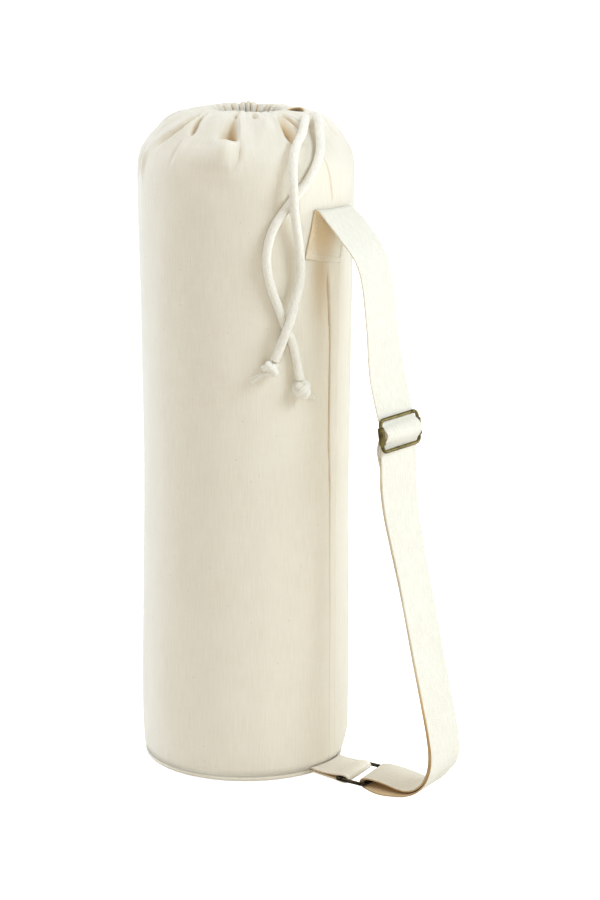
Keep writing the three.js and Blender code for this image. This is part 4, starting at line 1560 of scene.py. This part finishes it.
    def mesh(self) -> bmesh.types.BMesh:
        """Returns the band's closed mesh."""
        section = self.section()
        runs = np.linspace(self.blunt, self.length - self.blunt, round(self.length / self.spacing) + 1)
        runs = np.concatenate([[0], runs, [self.length]])
        around = np.concatenate([[0], np.cumsum(np.linalg.norm(np.diff(section, axis=0), axis=1))])

        def rows_of(along: Points) -> Points:
            """Returns the row of each point of the grid."""
            return np.rint(along * (len(runs) - 1)).astype(int)

        def columns_of(across: Points) -> Points:
            """Returns the column of each point of the grid."""
            return np.rint(across * (len(section) - 1)).astype(int)

        def place(across: Points, along: Points) -> Points:
            """Returns the points of the band, which wavers a little towards its edges."""
            row = rows_of(along)
            side, proud = section[columns_of(across)].T
            closed = (row > 0) & (row < len(runs) - 1)
            run = runs[row]
            wave = np.sin(run * 61 + 40 * side) * np.sin(run * 23 + 1) * (np.abs(side) / self.width)
            return self.point(run, side, proud * closed + self.waver * wave)

        def threads(across: Points, along: Points) -> Points:
            """Returns the distances round and along the band."""
            return np.stack([around[columns_of(across)], runs[rows_of(along)]], axis=1)

        def painted_shading(across: Points, along: Points) -> Points:
            """Returns each point's painted light and shade, from -1, painted light, to 2, painted deep
            shadow.
            """
            return self.tones(runs[rows_of(along)], *section[columns_of(across)].T)

        return wrapped_grid(len(section) - 1, len(runs) - 1, place, threads, painted_shading)

    def tones(self, run: Points, across: Points, proud: Points) -> Points:
        """Returns the band's painted shade, with painted light where it is below zero.

        Args:
            run: distances along the band from its sewn end.
            across: distances from its middle line.
            proud: distances from the middle of its thickness.
        """
        x, _, z = (np.interp(run, self.along, column) for column in self.line.T)
        # Painted shade on the inner face: inside the loop at the floor, and between the layers above it
        low = (1 - smooth_share(z, *self.loop_z)) * smooth_share(x, *self.loop_x)
        between = (1 - low) * (x > self.apart) * (z < self.between_below)
        inner = proud < -self.thick * self.inner_face
        tone = inner * (self.loop_painted_shade * low + self.between_painted_shade * between)
        # Painted shade on the sewn face under the arch, lighter towards its lit corner
        on_bag = (proud < 0) * (z > self.sewn_above) * (1 - smooth_share(x, *self.sewn_x))
        shade = self.shade_low + self.shade_rise * smooth_share(z, *self.shade_z)
        shade = shade - self.lit * smooth_share(across, *self.lit_across) * (1 - smooth_share(z, *self.lit_z))
        tone = tone + self.sewn_painted_shade * on_bag * np.maximum(shade, 0)
        # Painted light on the outer face near the floor
        tone = tone + self.floor_painted_light * (proud > 0) * (1 - smooth_share(z, *self.floor_z))
        # Painted shade along the near selvedge, fading higher up
        edge = self.edge_painted_shade * (1 - self.edge_fade * smooth_share(z, *self.edge_z))
        near_edge = across < -self.width / 2 + self.thick * self.selvedge
        return np.where(near_edge, np.maximum(tone, edge), tone)

    def stitch_row(self, bm: bmesh.types.BMesh, start: tuple[float, float], end: tuple[float, float],
                   proud: float, pitch: float = 0.0042, thick: float = 0.0008) -> None:
        """Sews a straight row of stitches on the band.

        Args:
            bm: the mesh that takes the stitches.
            start: the run and across where the row starts.
            end: the run and across where it ends.
            proud: the height of the thread from the middle of the band.
            pitch: the length of a stitch with its gap.
            thick: the thread's thickness.
        """
        first, last = np.array(start), np.array(end)
        count = max(1, round(float(np.linalg.norm(last - first)) / pitch))
        for i in range(count):
            spots = [first + (last - first) * (i + share) / count for share in STITCH_SPAN]
            ends = [self.point(np.array([r]), np.array([a]), np.array([proud]))[0] for r, a in spots]
            add_stitch(bm, Vector(ends[0]), Vector(ends[1]), thick)


UPPER_RUN = (
    (0.1057, 0.5150), (0.1063, 0.5480), (0.1065, 0.5605), (0.1076, 0.5652), (0.1102, 0.5664),
    (0.1132, 0.5634), (0.1200, 0.5560), (0.1322, 0.5422), (0.1440, 0.5282), (0.1518, 0.5138),
    (0.1564, 0.4970), (0.1606, 0.4660), (0.1642, 0.4380), (0.1686, 0.4100), (0.1745, 0.3870),
)
# Through the slider: down the strap from its middle bar, and out from the bag
SLIDER_FRONT = (
    (-0.0153, -0.0033), (-0.0105, -0.0016), (-0.0056, 0.0029), (0.0, 0.0057), (0.0056, 0.0029),
    (0.0105, -0.0016), (0.0153, -0.0034),
)
LOWER_RUN = (
    (0.1829, 0.3260), (0.1834, 0.3080), (0.1864, 0.2840), (0.1934, 0.2520), (0.2030, 0.2140),
    (0.2123, 0.1750), (0.2223, 0.1330), (0.2310, 0.0980), (0.2382, 0.0670),
)
# Down to the floor, round the ring and up again, with the way that the lower layer lies towards -Y
FLOOR_RUN = (
    (0.2412, 0.0, 0.0480), (0.2396, 0.0, 0.0320), (0.2336, 0.0, 0.0184), (0.2240, -0.0006, 0.0084),
    (0.2120, -0.0026, 0.0030), (0.2000, -0.0052, 0.0015), (0.1850, -0.0076, 0.0012),
    (0.1730, -0.0058, 0.0012), (0.1640, -0.0024, 0.0012), (0.1580, 0.0, 0.0014), (0.1551, 0.0, 0.0029),
    (0.1540, 0.0, 0.0055), (0.1553, 0.0, 0.0082), (0.1595, 0.0, 0.0099), (0.1660, 0.0, 0.0105),
    (0.1760, 0.0, 0.0103), (0.1900, 0.0, 0.0089), (0.2030, 0.0, 0.0070), (0.2120, 0.0, 0.0072),
    (0.2220, 0.0, 0.0108), (0.2312, 0.0, 0.0194), (0.2366, 0.0, 0.0312), (0.2386, 0.0, 0.0470),
)
SLIDER_LOOP = (
    (0.0240, -0.0084), (0.0153, -0.0087), (0.0070, -0.0062), (0.0022, -0.0037), (-0.0017, -0.0031),
    (-0.0036, 0.0), (-0.0017, 0.0030), (0.0020, 0.0029), (0.0044, -0.0004), (0.0085, -0.0036),
    (0.0153, -0.0060), (0.0220, -0.0057),
)
TAB_PATH = (
    (0.1015, 0.0073), (0.1120, 0.0062), (0.1240, 0.0067), (0.1342, 0.0078), (0.1386, 0.0067),
    (0.1402, 0.0044), (0.1384, 0.0019), (0.1340, 0.0012), (0.1240, 0.0023), (0.1120, 0.0036),
    (0.1010, 0.0046),
)


def in_seam_plane(spots: Sequence[tuple[float, float]]) -> tuple[Spot, ...]:
    """Returns points in the plane of the side seam from pairs of x and z."""
    return tuple((x, 0.0, z) for x, z in spots)


@dataclass
class ShoulderStrap:
    """The webbing strap from its sewn end through the slider and the ring, and the ring's tab."""

    webbing: bpy.types.Material
    thread: bpy.types.Material
    slider: SliderPose = SliderPose()
    strap_sewn: SewnEnd = SewnEnd(full=0.1075, flat=0.124, turn=12, about=0.566, straight=0.1100,
                                  aside=0.0030)
    strap_slant: FoldSlant = FoldSlant(share=0.17, none=0.205, full=0.160)
    tab_sewn: SewnEnd = SewnEnd(full=0.104, flat=0.128, turn=0, about=0, straight=0.128)
    tab_slant: FoldSlant = FoldSlant(share=0.15, none=0.112, full=0.132)
    layer_step: float = 0.0018
    # Stitches: how far they stand out, the sewn end's box as half its width and its ends along the strap, and
    # half the length of the rows across, with their places from the strap's end and along the tab
    stitch_proud: float = 0.0001
    box_half: float = 0.021
    box_ends: tuple[float, float] = (0.0045, 0.040)
    row_half: float = 0.023
    return_rows: tuple[float, ...] = (0.005, 0.009)
    tab_rows: tuple[float, ...] = (0.0235, 0.0200)

    def build(self) -> None:
        """Builds the strap, the tab and their stitches."""
        # Painted shade and light on the webbing: its sewn face, floor faces, selvedge, loop and layers
        strap = WebbingBand(self.strap_path(), self.strap_sewn, self.strap_slant, arch_twist=5.0,
                            far_round=0.0030, sewn_painted_shade=0.75, floor_painted_light=-0.35, edge_painted_shade=1.45, loop_painted_shade=0.9,
                            between_painted_shade=0.6, apart=0.17)
        tab = WebbingBand(in_seam_plane(TAB_PATH), self.tab_sewn, self.tab_slant, spacing=0.001, waver=0.0,
                          edge_painted_shade=0.4, between_painted_shade=0.7, floor_painted_light=-1.0)
        shown(strap.mesh(), "webbing_strap", self.webbing, ["shoulder_strap"])
        shown(tab.mesh(), "webbing_tab", self.webbing, ["lower_tab"])
        self.build_stitches(strap, tab)

    def strap_path(self) -> tuple[Spot, ...]:
        """Returns the whole path of the strap's middle."""
        front = [self.slider.beside(*spot) for spot in SLIDER_FRONT]
        loop = [self.slider.beside(*spot) for spot in SLIDER_LOOP]
        down, back = in_seam_plane(LOWER_RUN), in_seam_plane(self.return_layer())
        return (*in_seam_plane(UPPER_RUN), *front, *down, *FLOOR_RUN, *back, *loop)

    def return_layer(self) -> list[tuple[float, float]]:
        """Returns the lower run again, a step nearer the bag and the other way."""
        run = np.array(LOWER_RUN)
        ahead = np.vstack([run[1:], run[-1:]]) - np.vstack([run[:1], run[:-1]])
        ahead /= np.linalg.norm(ahead, axis=1)[:, None]
        aside = run + np.stack([ahead[:, 1], -ahead[:, 0]], axis=1) * self.layer_step
        return [tuple(point) for point in aside[::-1]]

    def build_stitches(self, strap: WebbingBand, tab: WebbingBand) -> None:
        """Sews the strap's end to the bag, its return below the slider, and the tab round the ring.

        Args:
            strap: the strap, sewn on the face that looks outwards there.
            tab: the tab, sewn from above.
        """
        bm = bmesh.new()
        proud = strap.thick / 2 + self.stitch_proud
        low, high = self.box_ends
        edge = self.box_half
        corners = ((low, -edge), (low, edge), (high, edge), (high, -edge), (low, -edge))
        for start, end in zip(corners, corners[1:]):
            strap.stitch_row(bm, start, end, -proud)
        rows = [(strap, strap.length - run, -proud) for run in self.return_rows]
        rows += [(tab, run, proud) for run in self.tab_rows]
        for band, run, height in rows:
            band.stitch_row(bm, (run, -self.row_half), (run, self.row_half), height)
        shown(bm, "strap_stitches", self.thread)


# Wire hardware


def once_each(items: Iterable) -> list:
    """Returns the items of a mesh once each, in order."""
    return list(dict.fromkeys(items))


@dataclass(frozen=True)
class WireShape:
    """A wire bent into a flat rectangle, sized to the middle of the wire."""

    length: float
    width: float
    corner: float
    wire: float
    sides: int = 18
    corner_steps: int = 8
    side_steps: int = 6

    def mesh(self) -> bmesh.types.BMesh:
        """Returns the closed frame, flat about the origin, with its length along X."""
        bm = bmesh.new()
        half_x, half_y = self.length / 2, self.width / 2
        lie = Matrix.Translation((half_x, -half_y + self.corner, 0)) @ Matrix.Rotation(math.pi / 2, 4, "X")
        ring = bmesh.ops.create_circle(bm, segments=self.sides, radius=self.wire / 2, matrix=lie)["verts"]
        loop = [*ring, *once_each(edge for vert in ring for edge in vert.link_edges)]
        inner_x, inner_y = half_x - self.corner, half_y - self.corner
        bends = ((inner_x, inner_y), (-inner_x, inner_y), (-inner_x, -inner_y), (inner_x, -inner_y))
        runs = ((0, 2 * inner_y), (-2 * inner_x, 0), (0, -2 * inner_y), (2 * inner_x, 0))
        for run, bend in zip(runs, bends):
            step = Vector((*run, 0)) / self.side_steps
            loop = bmesh.ops.spin(bm, geom=loop, dvec=step, cent=(0, 0, 0), axis=(0, 0, 1), angle=0,
                                  steps=self.side_steps)["geom_last"]
            loop = bmesh.ops.spin(bm, geom=loop, cent=(*bend, 0), axis=(0, 0, 1), angle=math.pi / 2,
                                  steps=self.corner_steps)["geom_last"]
        bmesh.ops.remove_doubles(bm, verts=bm.verts, dist=WELD * 10)
        bmesh.ops.recalc_face_normals(bm, faces=bm.faces)
        return bm


@dataclass
class WireHardware:
    """The strap's slider, with its middle bar, and the ring at the foot of the bag."""

    brass: bpy.types.Material
    dark: bpy.types.Material
    slider: SliderPose = SliderPose()
    slider_shape: WireShape = WireShape(length=0.0306, width=0.0566, corner=0.0055, wire=0.0036)
    ring_shape: WireShape = WireShape(length=0.031, width=0.0544, corner=0.0027, wire=0.0036)
    ring_place: Spot = (0.1475, 0, 0.0046)
    bar_radius: float = 0.0018
    bar_sides: int = 20
    eye_length: float = 0.0165
    eye_wall: float = 0.0011
    eye_gap: float = 0.0003
    eye_sides: int = 24
    eye_bevel: float = 0.00022

    def build(self) -> None:
        """Builds the ring, the slider's frame and its bar."""
        ring = self.ring_shape.mesh()
        bmesh.ops.translate(ring, verts=ring.verts, vec=self.ring_place)
        shown(ring, "ring_wire", self.dark, ["ring"])
        frame = self.slider_shape.mesh()
        bmesh.ops.transform(frame, matrix=self.slider.matrix(), verts=frame.verts)
        shown(frame, "slider_wire", self.brass, ["slider_frame"])
        self.build_bar()

    def build_bar(self) -> None:
        """Builds the slider's middle bar, with an eye curled round each side of the frame."""
        bm = bmesh.new()
        hole = self.slider_shape.wire / 2 + self.eye_gap
        side = self.slider_shape.width / 2
        reach = side - hole - self.eye_wall / 2
        bmesh.ops.create_cone(bm, cap_ends=True, segments=self.bar_sides, radius1=self.bar_radius,
                              radius2=self.bar_radius, depth=2 * reach,
                              matrix=Matrix.Rotation(math.pi / 2, 4, "X"))
        for sign in (-1, 1):
            self.add_eye(bm, sign * side, hole)
        bmesh.ops.transform(bm, matrix=self.slider.matrix(), verts=bm.verts)
        shown(bm, "slider_centre_bar", self.brass, ["slider_bar"])

    def add_eye(self, bm: bmesh.types.BMesh, side: float, hole: float) -> None:
        """Adds one curled eye, a short sleeve along X.

        Args:
            bm: the bar's mesh.
            side: the Y of the frame's side.
            hole: the sleeve's inner radius.
        """
        sleeve = bmesh.ops.create_cone(bm, cap_ends=False, segments=self.eye_sides, radius1=hole,
                                       radius2=hole, depth=self.eye_length,
                                       matrix=Matrix.Rotation(math.pi / 2, 4, "Y"))
        faces = once_each(face for vert in sleeve["verts"] for face in vert.link_faces)
        walls = bmesh.ops.solidify(bm, geom=faces, thickness=-self.eye_wall)["geom"]
        walls = [item for item in walls if isinstance(item, bmesh.types.BMVert)]
        verts = once_each([*sleeve["verts"], *walls])
        end = self.eye_length / 2 - WELD * 10
        rims = once_each(edge for vert in verts for edge in vert.link_edges
                         if all(abs(tip.co.x) > end for tip in edge.verts)
                         and edge.verts[0].co.x * edge.verts[1].co.x > 0)
        made = bmesh.ops.bevel(bm, geom=rims, offset=self.eye_bevel, offset_type="OFFSET", segments=2,
                               profile=0.5, affect="EDGES", material=-1)
        kept = [vert for vert in verts if vert.is_valid]
        bmesh.ops.translate(bm, verts=once_each([*kept, *made["verts"]]), vec=(0, side, 0))


def main() -> None:
    """Loads the frame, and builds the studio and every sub-assembly."""
    logging.basicConfig(level=logging.INFO)
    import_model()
    Studio().build()
    cotton = COTTON.material()
    webbing = WEBBING.material()
    brass = BRASS.material()
    Drawstring(cotton).build()
    CanvasBag(CANVAS.material()).build()
    ShoulderStrap(webbing, cotton).build()
    WireHardware(brass, DARK_WIRE.material()).build()


if __name__ == "__main__":
    main()
